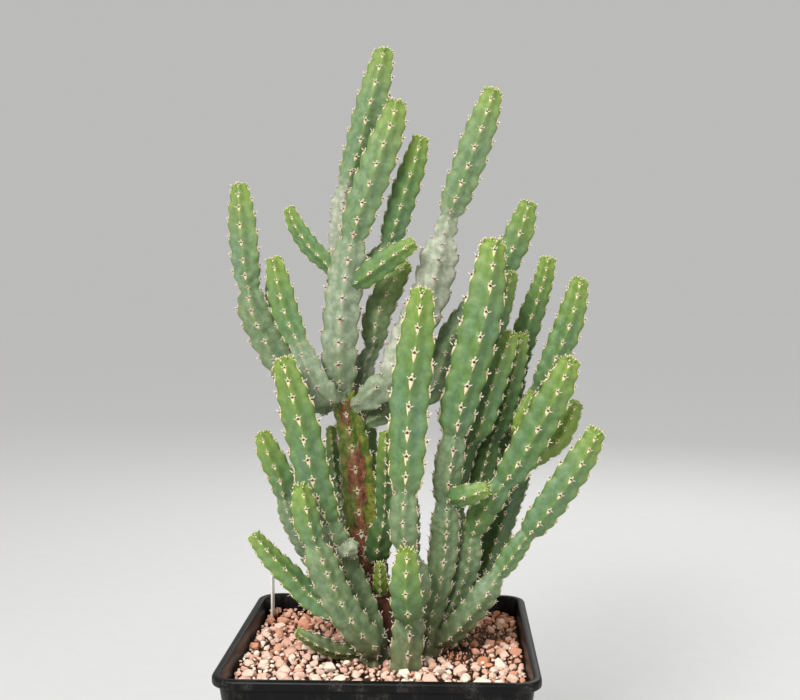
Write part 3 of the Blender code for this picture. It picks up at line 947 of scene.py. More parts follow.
def label_plastic(settings):
    """Thin white plastic, a little stained where it meets the gravel."""
    finish = Finish("label_plastic", {"Specular IOR Level": 0.45})
    fine = finish.noise(700.0, 3.0, 0.6)
    broad = finish.noise(90.0, 3.0, 0.6)
    low = 1.0 - finish.height().within(0.121, 0.136)
    stain = (low * (0.4 + broad * 0.9) + fine.within(0.62, 0.8) * 0.12).clipped()
    colour = finish.mix(stain * 0.7, tuple(settings.label), (0.42, 0.33, 0.24))
    return finish.finish(colour, 0.36 + broad * 0.16, fine, 0.1 * MM, 0.4)


def label_outline():
    """The label's outline: two round corners over a long point."""
    half = LABEL_WIDTH / 2.0
    steps = 5
    outline = []
    for side in (-1, 1):
        arc = []
        for k in range(steps + 1):
            angle = math.pi - math.pi / 2.0 * k / steps
            arc.append((LABEL_ROUND * math.cos(angle), LABEL_ROUND * math.sin(angle)))
        if side > 0:
            arc = [(-x, y) for x, y in reversed(arc)]
        middle = side * (half - LABEL_ROUND)
        outline += [(middle + x, LABEL_ABOVE - LABEL_ROUND + y) for x, y in arc]
    foot = -LABEL_BELOW
    outline += [(half, foot + LABEL_POINT), (LABEL_FOOT / 2.0, foot)]
    outline += [(-LABEL_FOOT / 2.0, foot), (-half, foot + LABEL_POINT)]
    return outline


class EUPHORBIA_OT_label(bpy.types.Operator):
    """Make the blank stake label"""

    bl_idname = "euphorbia.label"
    bl_label = "Label"

    def execute(self, context):
        outline = label_outline()
        bm = bmesh.new()
        back = [bm.verts.new((x * MM, y * MM, -LABEL_THICK / 2.0 * MM)) for x, y in outline]
        face = bm.faces.new(back)
        raised = bmesh.ops.extrude_face_region(bm, geom=[face])
        front = [v for v in raised["geom"] if isinstance(v, bmesh.types.BMVert)]
        bmesh.ops.translate(bm, verts=front, vec=(0.0, 0.0, LABEL_THICK * MM))
        edges = [e for e in bm.edges if abs(e.verts[0].co.z - e.verts[1].co.z) < 1e-7]
        bmesh.ops.bevel(bm, geom=edges, offset=LABEL_BEVEL * MM, segments=2, affect="EDGES")
        bmesh.ops.recalc_face_normals(bm, faces=bm.faces)
        inside = pot_width(GRAVEL_TOP - LABEL_BELOW) / 2.0 - POT_WALL
        at = Vector((LABEL_FROM_LEFT - inside, inside - LABEL_FROM_BACK, GRAVEL_TOP)) * MM
        upright = Matrix.Rotation(math.radians(90.0), 4, "X")
        turned = Matrix.Rotation(LABEL_TURN, 4, "Z")
        made = mesh_of(bm, "label")
        made.transform(Matrix.Translation(at) @ turned @ upright)
        finish = label_plastic(context.scene.euphorbia_pot)
        set_piece("label_strip", made, finish, "plant_label", 35.0)
        return {"FINISHED"}


# ------------------------------------------------------------------ filling

def soil_crumbs(settings):
    """Dark crumbly soil with pale specks."""
    finish = Finish("soil_crumbs", {"Specular IOR Level": 0.2})
    crumbs = finish.noise(420.0, 6.0, 0.7)
    broad = finish.noise(60.0, 3.0, 0.5)
    grains = finish.cells(900.0)
    colour = finish.mix(crumbs.within(0.35, 0.7), tuple(settings.soil), (0.11, 0.062, 0.036))
    specks = (1.0 - grains).within(0.86, 0.95) * broad.within(0.4, 0.6)
    colour = finish.mix(specks * 0.6, colour, (0.42, 0.31, 0.23))
    return finish.finish(colour, 0.9 + crumbs * 0.1, crumbs + grains * 0.4, 1.2 * MM, 0.9)


def pumice(settings):
    """Rough porous stone, pink, pale or brown by each stone's own tint."""
    finish = Finish("pumice_stone", {"Specular IOR Level": 0.25})
    tint = finish.attribute("tint")
    ramp = finish.node(
        "ShaderNodeValToRGB",
        {"stops": (
            (0.0, tuple(settings.brown)), (0.25, (0.68, 0.32, 0.20)),
            (0.48, tuple(settings.pink)), (0.74, (0.85, 0.61, 0.48)),
            (1.0, tuple(settings.pale)),
        )},
        {"Fac": tint},
    )
    mottle = finish.noise(520.0, 5.0, 0.65)
    broad = finish.noise(150.0, 2.0, 0.5)
    pits = finish.cells(1500.0)
    # Dark spots in the pits are painted shade in the stone's pores.
    dark = (1.0 - pits.within(0.12, 0.34)) * mottle.within(0.45, 0.7)
    colour = finish.scaled(ramp.outputs["Color"], 0.78 + mottle * 0.60)
    colour = finish.mix(broad.within(0.5, 0.75) * 0.35, colour, (0.78, 0.60, 0.46))
    colour = finish.mix(dark * 0.55, colour, (0.16, 0.06, 0.03))
    relief = mottle * 0.7 + pits * 0.5
    return finish.finish(colour, 0.86 + mottle * 0.12, relief, 0.5 * MM, 0.8)


def stone_shape(name, seed, corners):
    """A flat-sided block of broken pumice, about one unit in radius."""
    rng = np.random.default_rng(seed)
    shape = (1.0, 0.66 + 0.26 * rng.random(), 0.50 + 0.22 * rng.random())
    bm = bmesh.new()
    for k in range(corners):
        # Corners are spread evenly round a ball, then shaken.
        height = 1.0 - 2.0 * (k + 0.5) / corners
        turn = k * GOLDEN_TURN
        flat = math.sqrt(1.0 - height * height)
        corner = Vector((flat * math.cos(turn), flat * math.sin(turn), height))
        corner = (corner + Vector(rng.normal(size=3)) * 0.24).normalized()
        corner *= 0.84 + 0.22 * rng.random()
        bm.verts.new([a * b for a, b in zip(corner, shape)])
    hull = bmesh.ops.convex_hull(bm, input=bm.verts)
    bmesh.ops.delete(bm, geom=hull["geom_interior"], context="VERTS")
    bmesh.ops.bevel(
        bm, geom=list(bm.edges), offset=0.075, segments=1, affect="EDGES", clamp_overlap=True,
    )
    bmesh.ops.recalc_face_normals(bm, faces=bm.faces)
    made = mesh_of(bm, name)
    made.shade_smooth()
    made.set_sharp_from_angle(angle=math.radians(26.0))
    return made


def stone_tree():
    """Scatter stones: a shape, size and turn for each point."""
    tree, source = geometry_tree(
        "stone_scatter",
        {"Stones": "Collection", "Tilt": "Float", "Seed": "Int", "Material": "Material"},
    )
    stones = add_node(
        tree, "GeometryNodeCollectionInfo", {"transform_space": "ORIGINAL"},
        {"Collection": source.outputs["Stones"], "Separate Children": True,
         "Reset Children": True},
    )
    pick = add_node(
        tree, "FunctionNodeRandomValue", {"data_type": "INT"},
        {"Min": 0, "Max": 997, "Seed": source.outputs["Seed"]},
    )
    tilt = Value(tree, source.outputs["Tilt"])
    high = add_node(tree, "ShaderNodeCombineXYZ", None, {"X": tilt, "Y": tilt, "Z": math.pi})
    low = add_node(
        tree, "ShaderNodeCombineXYZ", None, {"X": 0.0 - tilt, "Y": 0.0 - tilt, "Z": -math.pi},
    )
    turn = add_node(
        tree, "FunctionNodeRandomValue", {"data_type": "FLOAT_VECTOR"},
        {"Min": low.outputs[0], "Max": high.outputs[0], "Seed": source.outputs["Seed"]},
    )
    turned = add_node(
        tree, "FunctionNodeEulerToRotation", None, {"Euler": turn.outputs["Value"]},
    )
    placed = add_node(
        tree, "GeometryNodeInstanceOnPoints", None,
        {"Points": source.outputs["Geometry"], "Instance": stones.outputs["Instances"],
         "Pick Instance": True, "Instance Index": pick.outputs["Value"],
         "Rotation": turned.outputs["Rotation"], "Scale": named(tree, "size")},
    )
    close_tree(tree, placed.outputs["Instances"], source.outputs["Material"])
    return tree


def gravel_wave(x, y):
    """Height of the gravel's gentle bumps, in millimetres."""
    return GRAVEL_WAVE * math.sin(x * 0.115) * math.cos(y * 0.14 + 0.6)


def fines(x, y):
    """How far dark fines take the place of stones here, from 0 to 1."""
    share = 0.0
    for at_x, at_y, wide, deep in FINES:
        near = math.hypot((x - at_x) / wide, (y - at_y) / deep)
        share = max(share, min(1.0, 1.6 * (1.0 - near)))
    return share


def stem_feet(lines):
    """Where stems pass near the gravel: centres and radii in millimetres."""
    feet = []
    for line in lines.values():
        for centre, reach in zip(line["centre"][::3], line["reach"][::3]):
            if -6.0 < centre[2] < 3.0 + reach:
                feet.append((centre[0], centre[1], reach))
    return np.array(feet)


def throw_stones(settings, lines):
    """Places, radii and tints of stones that lie close but hardly overlap."""
    rng = np.random.default_rng(settings.seed)
    feet = stem_feet(lines)
    half = pot_width(GRAVEL_TOP) / 2.0 - POT_WALL - 0.6
    round_off = 12.0
    largest = settings.largest / MM
    smallest = settings.smallest / MM
    placed = np.zeros((0, 3))
    # Least and greatest radius, number of throws, and how close two may lie
    classes = (
        (largest * 0.88, largest * 1.12, 70, 0.93), (largest * 0.66, largest * 0.88, 340, 0.93),
        (largest * 0.48, largest * 0.66, 1500, 0.91), (smallest * 1.15, largest * 0.48, 3600, 0.90),
        (smallest * 0.8, smallest * 1.15, 5200, 0.88),
    )
    for low, high, tries, close in classes:
        for _ in range(tries):
            radius = low + (high - low) * rng.random()
            x, y = rng.uniform(-1.0, 1.0, 2) * (half - radius * 0.75)
            # Stones stay off the fines, up to an uneven border.
            patchy = 0.50 + 0.75 * noise.noise(Vector((x, y, 0.0)) * 0.19)
            if fines(x, y) > patchy:
                continue
            corner = (max(0.0, abs(x) - half + round_off), max(0.0, abs(y) - half + round_off))
            if math.hypot(*corner) > round_off - radius * 0.7:
                continue
            if len(feet):
                gap = np.hypot(feet[:, 0] - x, feet[:, 1] - y) - feet[:, 2] * 0.86
                if gap.min() < radius * 0.55:
                    continue
            if len(placed):
                apart = np.hypot(placed[:, 0] - x, placed[:, 1] - y)
                if (apart < (placed[:, 2] + radius) * close).any():
                    continue
            placed = np.vstack([placed, (x, y, radius)])
    # The front stones are the palest, partly by their own tint and partly as painted light that falls off
    # towards the back, and small stones lie a little deeper.
    tints, lifts = [], []
    for x, y, radius in placed:
        front = 0.5 - y / 150.0
        tint = 0.52 + 0.24 * rng.normal() + 0.58 * (front - 0.5) - 0.0008 * x
        tints.append(min(max(tint - 0.30 * fines(x, y), 0.02), 0.98))
        sink = 0.30 * radius * rng.random()
        lifts.append(gravel_wave(x, y) + 0.6 - sink - (0.5 if radius < 2.2 else 0.0))
    return placed, tints, lifts


def stone_piece(name, context, points, shapes, tilt, material):
    """Scatter stone shapes over points and show them as one piece."""
    store = bpy.data.collections.new(name + "_shapes")
    context.scene.collection.children.link(store)
    for number, shape in enumerate(shapes):
        store.objects.link(bpy.data.objects.new(f"{name}_{number}", shape))
    carrier = link(name + "_points", points)
    values = {
        "Stones": store, "Tilt": tilt, "Seed": context.scene.euphorbia_gravel.seed,
        "Material": material,
    }
    made = run_tree(stone_tree(), carrier, values)
    for shape in list(store.objects):
        bpy.data.objects.remove(shape, do_unlink=True)
    bpy.data.collections.remove(store)
    return made


def throw_grit(settings):
    """Places, radii and tints of the fine grains between the stones."""
    rng = np.random.default_rng(settings.seed + 5)
    half = pot_width(GRAVEL_TOP) / 2.0 - POT_WALL - 2.0
    round_off = 9.0
    spots = rng.uniform(-half, half, (settings.grit_count, 2))
    over = np.maximum(0.0, np.abs(spots) - half + round_off)
    spots = spots[np.hypot(over[:, 0], over[:, 1]) < round_off - 0.5]
    rise = [gravel_wave(x, y) + 2.2 * fines(x, y) for x, y in spots]
    heights = GRAVEL_TOP - GRIT_SINK + np.array(rise) + rng.uniform(-0.3, 1.3, len(spots))
    radii = rng.uniform(0.5, 1.5, len(spots))
    tints = np.clip(rng.normal(0.20, 0.28, len(spots)), 0.0, 0.95)
    return np.column_stack([spots, heights]) * MM, radii * MM, tints


def gravel_bed():
    """The dark floor of fines that shows between the stones, as a closed block."""
    half = pot_width(GRAVEL_TOP - 3.0) / 2.0 - POT_WALL - 0.3
    corner = POT_CORNER - POT_WALL
    bm = bmesh.new()
    bmesh.ops.create_grid(bm, x_segments=90, y_segments=90, size=half * MM)
    for vert in bm.verts:
        x, y = vert.co.x / MM, vert.co.y / MM
        over = Vector((max(0.0, abs(x) - half + corner), max(0.0, abs(y) - half + corner)))
        if over.x > 0.0 and over.y > 0.0:
            pull = max(over.x, over.y) / over.length
            x = math.copysign(half - corner + over.x * pull, x)
            y = math.copysign(half - corner + over.y * pull, y)
        lumps = noise.noise(Vector((x, y, 3.0)) * 0.35) * 0.9
        lumps += noise.noise(Vector((x, y, 9.0)) * 0.9) * 0.5
        rise = gravel_wave(x, y) + 2.4 * fines(x, y) + lumps
        vert.co = Vector((x, y, GRAVEL_TOP - BED_SINK + rise)) * MM
    raised = bmesh.ops.extrude_face_region(bm, geom=list(bm.faces))
    lowered = [v for v in raised["geom"] if isinstance(v, bmesh.types.BMVert)]
    floor = (GRAVEL_TOP - GRAVEL_DEPTH) * MM
    shrink = (pot_width(GRAVEL_TOP - GRAVEL_DEPTH) / 2.0 - POT_WALL - 0.3) / half
    for vert in lowered:
        vert.co.x *= shrink
        vert.co.y *= shrink
        vert.co.z = floor
    bmesh.ops.recalc_face_normals(bm, faces=bm.faces)
    return mesh_of(bm, "gravel_bed")


class EUPHORBIA_OT_filling(bpy.types.Operator):
    """Give the soil its finish, and make the bed of fines, the gravel stones and the grit"""

    bl_idname = "euphorbia.filling"
    bl_label = "Soil and Gravel"

    def execute(self, context):
        settings = context.scene.euphorbia_gravel
        soil = frame["nodes"]["potting_soil"]
        earth = soil_crumbs(settings)
        soil.data.materials.clear()
        soil.data.materials.append(earth)
        bed = gravel_bed()
        set_piece("gravel_bed", bed, earth, "gravel_top_dressing", 60.0)
        stone = pumice(settings)
        placed, tints, lifts = throw_stones(settings, stem_lines(context))
        heights = GRAVEL_TOP + np.array(lifts) - placed[:, 2] * 0.2
        places = np.column_stack([placed[:, 0], placed[:, 1], heights]) * MM
        points = point_mesh(
            "stone_points", places, {"size": placed[:, 2] * 1.12 * MM, "tint": tints},
        )
        shapes = [stone_shape(f"stone_{k}", 40 + k, 11 + k % 3) for k in range(15)]
        made = stone_piece("gravel_stones", context, points, shapes, 0.5, stone)
        set_piece("gravel_stones", made, stone, None)
        places, radii, tints = throw_grit(settings)
        points = point_mesh("grit_points", places, {"size": radii, "tint": tints})
        shapes = [stone_shape(f"grit_{k}", 70 + k, 7) for k in range(6)]
        made = stone_piece("gravel_grit", context, points, shapes, 2.5, stone)
        set_piece("gravel_grit", made, stone, None)
        return {"FINISHED"}


# ------------------------------------------------------------------ stems

def shoulder(run, length):
    """Share of the belly's radius at a distance from the nearest neck."""
    rise = min(max(run, 0.0) / min(SHOULDER, length / 2.0), 1.0)
    return NECK + (1.0 - NECK) * math.sin(math.pi / 2.0 * rise) ** 0.7


def growth_radius(along, length, belly, first, last):
    """Radius along one growth: a neck, a full belly, then a shoulder or a tip."""
    run = along * length - (BURIED if first else 0.0)
    swell = 0.86 + 0.14 * math.sin(math.pi / 2.0 * min(along / 0.5, 1.0))
    if last:
        fade = 1.0 - (1.0 - TIP) * max(0.0, (along - 0.5) / 0.5) ** 2.4
    else:
        fade = shoulder((1.0 - along) * length, length)
    return belly * swell * shoulder(run, length) * fade


def axis_point(points, index, along):
    """A point of the smooth curve through a stem's axis points."""
    before = points[max(index - 1, 0)]
    start = points[index]
    end = points[index + 1]
    after = points[min(index + 2, len(points) - 1)]
    lean_in = (end - before) * 0.5
    lean_out = (after - start) * 0.5
    t2 = along * along
    t3 = t2 * along
    return (
        start * (2 * t3 - 3 * t2 + 1) + lean_in * (t3 - 2 * t2 + along)
        + end * (3 * t2 - 2 * t3) + lean_out * (t3 - t2)
    )


def stem_rings(name):
    """Ring centres, radii, growth numbers and places along the growth."""
    start, *growths = STEMS[name]
    points = [Vector(start)]
    belongs = []
    for number, (belly, *way) in enumerate(growths):
        for point in way:
            points.append(Vector(point))
            belongs.append(number)
    centres, radii, numbers, places = [], [], [], []
    for number, (belly, *way) in enumerate(growths):
        spans = [i for i, owner in enumerate(belongs) if owner == number]
        fine = [axis_point(points, spans[0], 0.0)]
        for i in spans:
            fine += [axis_point(points, i, step / 8.0) for step in range(1, 9)]
        runs = [0.0]
        for a, b in zip(fine, fine[1:]):
            runs.append(runs[-1] + (b - a).length)
        rings = max(4, round(runs[-1] / RING_STEP))
        for ring in range(0 if number == 0 else 1, rings + 1):
            want = runs[-1] * ring / rings
            k = max(i for i in range(len(runs) - 1) if runs[i] <= want + 1e-9)
            part = (want - runs[k]) / (runs[k + 1] - runs[k])
            centres.append(fine[k].lerp(fine[k + 1], part))
            ends = (number == 0, number == len(growths) - 1)
            radii.append(growth_radius(ring / rings, runs[-1], belly, *ends))
            numbers.append(number)
            places.append(ring / rings)
    return np.array(centres), np.array(radii), np.array(numbers), np.array(places)


def softened(values, reach):
    """Values along a line, evened out over a number of rings each way."""
    steps = np.arange(-3 * reach, 3 * reach + 1)
    weights = np.exp(-0.5 * (steps / reach) ** 2)
    padded = np.pad(values, 3 * reach, mode="edge")
    return np.convolve(padded, weights / weights.sum(), mode="valid")


def unit(vectors):
    return vectors / np.maximum(np.linalg.norm(vectors, axis=-1, keepdims=True), 1e-9)


def bump_profile(place):
    """Height of a crest's bump at a place from 0 to 1 along it."""
    return max(0.0, math.sin(math.pi * place ** SKEW)) ** FILL


def stem_line(name, number):
    """All that a stem's skin and cushions need, ring by ring, in millimetres."""
    centres, radii, numbers, places = stem_rings(name)
    radii = softened(radii, 1)
    growths = STEMS[name][1:]
    letters = LOOKS.get(name, "h" * (len(growths) - 1) + "g")
    looks = np.array([SKINS[letters[k]] for k in numbers])
    bellies = np.array([growths[k][0] for k in numbers])
    last = numbers == numbers.max()
    ratio = SPACING.get(name, USUAL_SPACING)
    crowding = 0.48 + 0.52 * np.sin(np.pi * np.clip(places, 0.0, 1.0)) ** 0.7
    crowding = np.where(last & (places < 0.8) & (places > 0.35), 1.0, crowding)
    steps = np.linalg.norm(np.diff(centres, axis=0), axis=1)
    along = np.concatenate([[0.0], np.cumsum(steps / (ratio * bellies * crowding)[1:])])
    # A low dome closes the tip.
    way = unit(centres[-1] - centres[-3])
    dome = radii[-1] * DOME
    count = max(4, round(radii[-1] / 0.7))
    angles = np.linspace(0.0, math.pi / 2.0, count + 1)[1:]
    rate = (along[-1] - along[-4]) / max(np.linalg.norm(centres[-1] - centres[-4]), 1e-6)
    centres = np.vstack([centres, centres[-1] + np.outer(np.sin(angles) * dome, way)])
    radii = np.concatenate([radii, radii[-1] * np.cos(angles)])
    along = np.concatenate([along, along[-1] + rate * np.sin(angles) * dome])
    bellies = np.concatenate([bellies, np.full(count, bellies[-1])])
    looks = np.vstack([looks, np.repeat(looks[-1:], count, axis=0)])
    far = np.concatenate([[0.0], np.cumsum(np.linalg.norm(np.diff(centres, axis=0), axis=1))])
    to_tip = far[-1] - far
    # Flat foot
    centres = np.vstack([centres[:1], centres])
    radii = np.concatenate([[0.0], radii])
    along, bellies = np.concatenate([along[:1], along]), np.concatenate([bellies[:1], bellies])
    looks, to_tip = np.vstack([looks[:1], looks]), np.concatenate([to_tip[:1], to_tip])
    ways = unit(np.gradient(centres, axis=0))
    ways[0] = ways[1]
    rng = np.random.default_rng(900 + number)
    turn = math.radians(TURNS.get(name, 7.0 * (rng.random() - 0.5)))
    sides = np.zeros_like(centres)
    side = np.array([0.0, -1.0, 0.0])
    side = unit(side - ways[-1] * side.dot(ways[-1]))
    side = side * math.cos(turn) + np.cross(ways[-1], side) * math.sin(turn)
    for k in range(len(centres) - 1, -1, -1):
        side = unit(side - ways[k] * side.dot(ways[k]))
        sides[k] = side
    looks = np.column_stack([softened(looks[:, k], 5) for k in range(4)])
    reach = 2.6 if len(growths) > 1 or to_tip[0] > 60.0 else 1.6
    fresh = np.exp(-(to_tip / (reach * bellies)) ** 1.5) * (0.0 if name in OLD_STEMS else 0.8)
    looks[:, 2] = np.maximum(looks[:, 2], fresh)
    return {
        "centre": centres, "reach": radii, "way": ways, "side": sides,
        "across": np.cross(ways, sides), "along": along + 0.37 * rng.random(),
        "belly": bellies, "age": looks[:, 0], "deep": looks[:, 1],
        "fresh": looks[:, 2], "cork": looks[:, 3], "to_tip": to_tip,
    }


LINES = {}


def stem_lines(context):
    """Every stem's line, worked out once."""
    if not LINES:
        for number, name in enumerate(STEMS):
            LINES[name] = stem_line(name, number)
    return LINES


def stem_tree():
    """Skin a stem: a ring of points at each axis point, with ribs and bumps."""
    tree, source = geometry_tree(
        "stem_skin",
        {"Sides": "Int", "Ribs": "Int", "Rib Depth": "Float", "Bump Height": "Float",
         "Material": "Material"},
    )
    ribs = Value(tree, source.outputs["Ribs"])
    line = add_node(tree, "GeometryNodeMeshToCurve", None, {"Mesh": source.outputs["Geometry"]})
    ring = add_node(
        tree, "GeometryNodeCurvePrimitiveCircle", {"mode": "RADIUS"},
        {"Resolution": source.outputs["Sides"], "Radius": MM},
    )
    index = Value(tree, add_node(tree, "GeometryNodeInputIndex").outputs[0])
    turn = index * TAU / Value(tree, source.outputs["Sides"])
    marked = stored(tree, ring.outputs["Curve"], "turn", turn)
    tube = add_node(
        tree, "GeometryNodeCurveToMesh", None,
        {"Curve": line.outputs["Curve"], "Profile Curve": marked},
    )
    turn = Value(tree, named(tree, "turn"))
    valley = abs((turn * ribs * 0.5).sine()) ** 1.2
    rib = (turn * ribs / TAU).rounded()
    phase = (Value(tree, named(tree, "along")) + rib * RIB_LAG).part()
    bump = (phase ** SKEW * math.pi).sine()
    bump = sums(tree, "MAXIMUM", bump, 0.0) ** FILL
    crest = 1.0 - valley
    reach = Value(tree, named(tree, "reach")) * MM
    out = 1.0 - valley * Value(tree, source.outputs["Rib Depth"])
    height = Value(tree, source.outputs["Bump Height"])
    out = out + (bump - BUMP_MIDDLE) * height * (crest ** 0.8)
    lumps = add_node(
        tree, "ShaderNodeTexNoise", None,
        {"Vector": add_node(tree, "GeometryNodeInputPosition").outputs[0],
         "Scale": 150.0, "Detail": 2.0},
    )
    lumps = Value(tree, lumps.outputs["Fac"])
    out = out + (lumps - 0.5) * 0.10 * valley
    reach = reach * out

    def scaled(name, amount):
        made = add_node(
            tree, "ShaderNodeVectorMath", {"operation": "SCALE"},
            {0: named(tree, name, "FLOAT_VECTOR"), "Scale": amount},
        )
        return made.outputs[0]

    def added(one, other):
        made = add_node(tree, "ShaderNodeVectorMath", {"operation": "ADD"}, {0: one, 1: other})
        return made.outputs[0]

    place = added(
        named(tree, "middle", "FLOAT_VECTOR"),
        added(scaled("side", reach * turn.cosine()), scaled("across", reach * turn.sine())),
    )
    geometry = tube.outputs["Mesh"]
    for name, value in (("crest", crest), ("phase", phase), ("front", turn.cosine())):
        geometry = stored(tree, geometry, name, value)
    shaped = add_node(
        tree, "GeometryNodeSetPosition", None, {"Geometry": geometry, "Position": place},
    )
    joined = add_node(
        tree, "GeometryNodeMergeByDistance", None,
        {"Geometry": shaped.outputs["Geometry"], "Distance": 0.004 * MM},
    )
    soft = add_node(
        tree, "GeometryNodeSetShadeSmooth", None, {"Geometry": joined.outputs["Geometry"]},
    )
    close_tree(tree, soft.outputs["Geometry"], source.outputs["Material"])
    return tree


def stem_skin(settings, name, tone):
    """Waxy ribbed skin: green, bluish in the valleys, pale with age, corky in places, with painted shade on
    shadowed growths and in the notches, and a painted highlight along the crests.
    """
    finish = Finish(name, {"Specular IOR Level": 0.42})
    crest = finish.attribute("crest")
    phase = finish.attribute("phase")
    age = finish.attribute("age")
    deep = finish.attribute("deep")
    fresh = finish.attribute("fresh")
    cork = finish.attribute("cork")
    front = finish.attribute("front")
    broad = finish.noise(70.0, 3.0, 0.55)
    bloom = finish.noise(48.0, 2.0, 0.5, (1.0, 1.0, 0.55))
    mottle = finish.noise(260.0, 4.0, 0.6)
    fine = finish.noise(1400.0, 3.0, 0.6)
    lines = finish.noise(420.0, 3.0, 0.6, (0.35, 0.35, 2.6))
    valley = 1.0 - crest
    colour = finish.mix(valley.within(0.35, 0.95) * 0.75, tuple(settings.green), tuple(settings.valley))
    colour = finish.mix(mottle.within(0.38, 0.72) * 0.42, colour, (0.188, 0.318, 0.112))
    colour = finish.mix(broad.within(0.42, 0.68) * 0.38, colour, (0.140, 0.278, 0.034))
    colour = finish.mix(bloom.within(0.44, 0.66) * (0.25 + valley * 0.35), colour, (0.125, 0.245, 0.150))
    greying = (age * (0.65 + broad * 0.7)).clipped()
    old = finish.mix(mottle.within(0.40, 0.66) * 0.75, tuple(settings.old), (0.60, 0.595, 0.50))
    colour = finish.mix(greying, colour, old)
    # Growths marked deep get a darker green: painted shade on the growths that sit in shadow.
    colour = finish.mix((deep * (0.6 + broad * 0.5)).clipped() * 0.85, colour, tuple(settings.deep))
    colour = finish.mix((fresh * (0.75 + mottle * 0.5)).clipped(), colour, tuple(settings.fresh))
    # Darker green in the notches between bumps is painted shade in the creases.
    notch_shade = 1.0 - phase.within(0.0, 0.07) * (1.0 - phase.within(0.95, 1.0))
    colour = finish.mix(notch_shade * crest.within(0.25, 0.7) * 0.35, colour, (0.075, 0.15, 0.05))
    # The pale line along the crests is partly the pale waxy edge of the ribs and partly a painted highlight.
    ridge = crest.within(0.86, 0.99) * (0.25 + age * 0.5 + fine * 0.3)
    colour = finish.mix(ridge.clipped() * 0.20, colour, (0.42, 0.48, 0.30))
    flecks = fine.within(0.60, 0.78) * (0.15 + age * 0.45)
    colour = finish.mix(flecks, colour, (0.52, 0.53, 0.43))
    low = finish.height()
    dirt = (1.0 - low.within(0.122, 0.150)) * (0.4 + mottle * 0.8)
    olive = (cork * (0.6 + broad * 0.8)).clipped()
    moss = finish.mix(mottle.within(0.40, 0.62), (0.100, 0.170, 0.015), (0.300, 0.300, 0.035))
    colour = finish.mix(olive * 0.9, colour, moss)
    scales = finish.cells(230.0)
    plates = finish.noise(120.0, 3.0, 0.6, (1.0, 1.0, 0.45))
    band = front.within(0.45, 0.98) * 0.95 + crest.within(0.75, 0.98) * 0.35
    bark = cork * (band + (plates - 0.5) * 3.6 + (mottle - 0.5) * 1.6 - 0.42)
    bark = bark + cork * (1.0 - low.within(0.145, 0.205)) * 1.1
    bark = bark.within(0.32, 0.56)
    brown = finish.mix(scales.within(0.15, 0.55), (0.13, 0.035, 0.018), tuple(settings.cork))
    brown = finish.mix(plates.within(0.46, 0.66) * 0.7, brown, (0.20, 0.045, 0.022))
    brown = finish.mix(fine.within(0.50, 0.70) * 0.55, brown, (0.54, 0.33, 0.22))
    brown = finish.mix(mottle.within(0.52, 0.68) * 0.65, brown, (0.44, 0.22, 0.11))
    brown = finish.mix((1.0 - low.within(0.138, 0.185)) * 0.85, brown, (0.070, 0.018, 0.010))
    colour = finish.mix(bark, colour, brown)
    colour = finish.mix(dirt.clipped() * 0.45, colour, (0.15, 0.085, 0.045))
    colour = finish.scaled(colour, tone * (0.60 + mottle * 0.80))
    roughness = 0.42 + age * 0.18 + bark * 0.35 + mottle * 0.12
    relief = mottle * 0.6 + fine * 0.2 + lines * (0.12 + age * 0.5) + bark * (scales * 3.0 + fine)
    return finish.finish(colour, roughness.clipped(), relief, 0.45 * MM, 0.55)


def stem_slot(name):
    """The slot of a stem's finish, by its age."""
    if name in OLD_STEMS:
        return "stem_old"
    return "stem_young" if name in YOUNG_STEMS else "stem_grown"


class EUPHORBIA_OT_stems(bpy.types.Operator):
    """Grow every ribbed stem over its place in the frame"""

    bl_idname = "euphorbia.stems"
    bl_label = "Stems"

    def execute(self, context):
        settings = context.scene.euphorbia_stems
        tree = stem_tree()
        finishes = {
            "stem_old": stem_skin(settings, "stem_old_skin", 0.74),
            "stem_grown": stem_skin(settings, "stem_grown_skin", 0.79),
            "stem_young": stem_skin(settings, "stem_young_skin", 0.79),
        }
        for name, line in stem_lines(context).items():
            slot = stem_slot(name)
            count = len(line["reach"])
            middle = lifted(line["centre"])
            numbers = {key: line[key] for key in ("reach", "along", "age", "deep", "fresh", "cork")}
            vectors = {"side": line["side"], "across": line["across"], "middle": middle}
            edges = [(k, k + 1) for k in range(count - 1)]
            spread = np.column_stack([np.zeros(count), np.zeros(count), np.arange(count) * 0.01])
            carrier = link(name + "_line", point_mesh(name, spread, numbers, vectors, edges))
            values = {
                "Sides": settings.sides, "Ribs": RIBS, "Rib Depth": settings.rib_depth,
                "Bump Height": settings.bump_height, "Material": finishes[slot],
            }
            made = run_tree(tree, carrier, values)
            tidy_normals(made)
            drop_attributes(made, ("side", "across", "middle", "reach", "along", "turn"))
            set_piece(name + "_skin", made, finishes[slot], name)
        return {"FINISHED"}


# ------------------------------------------------------------------ cushions

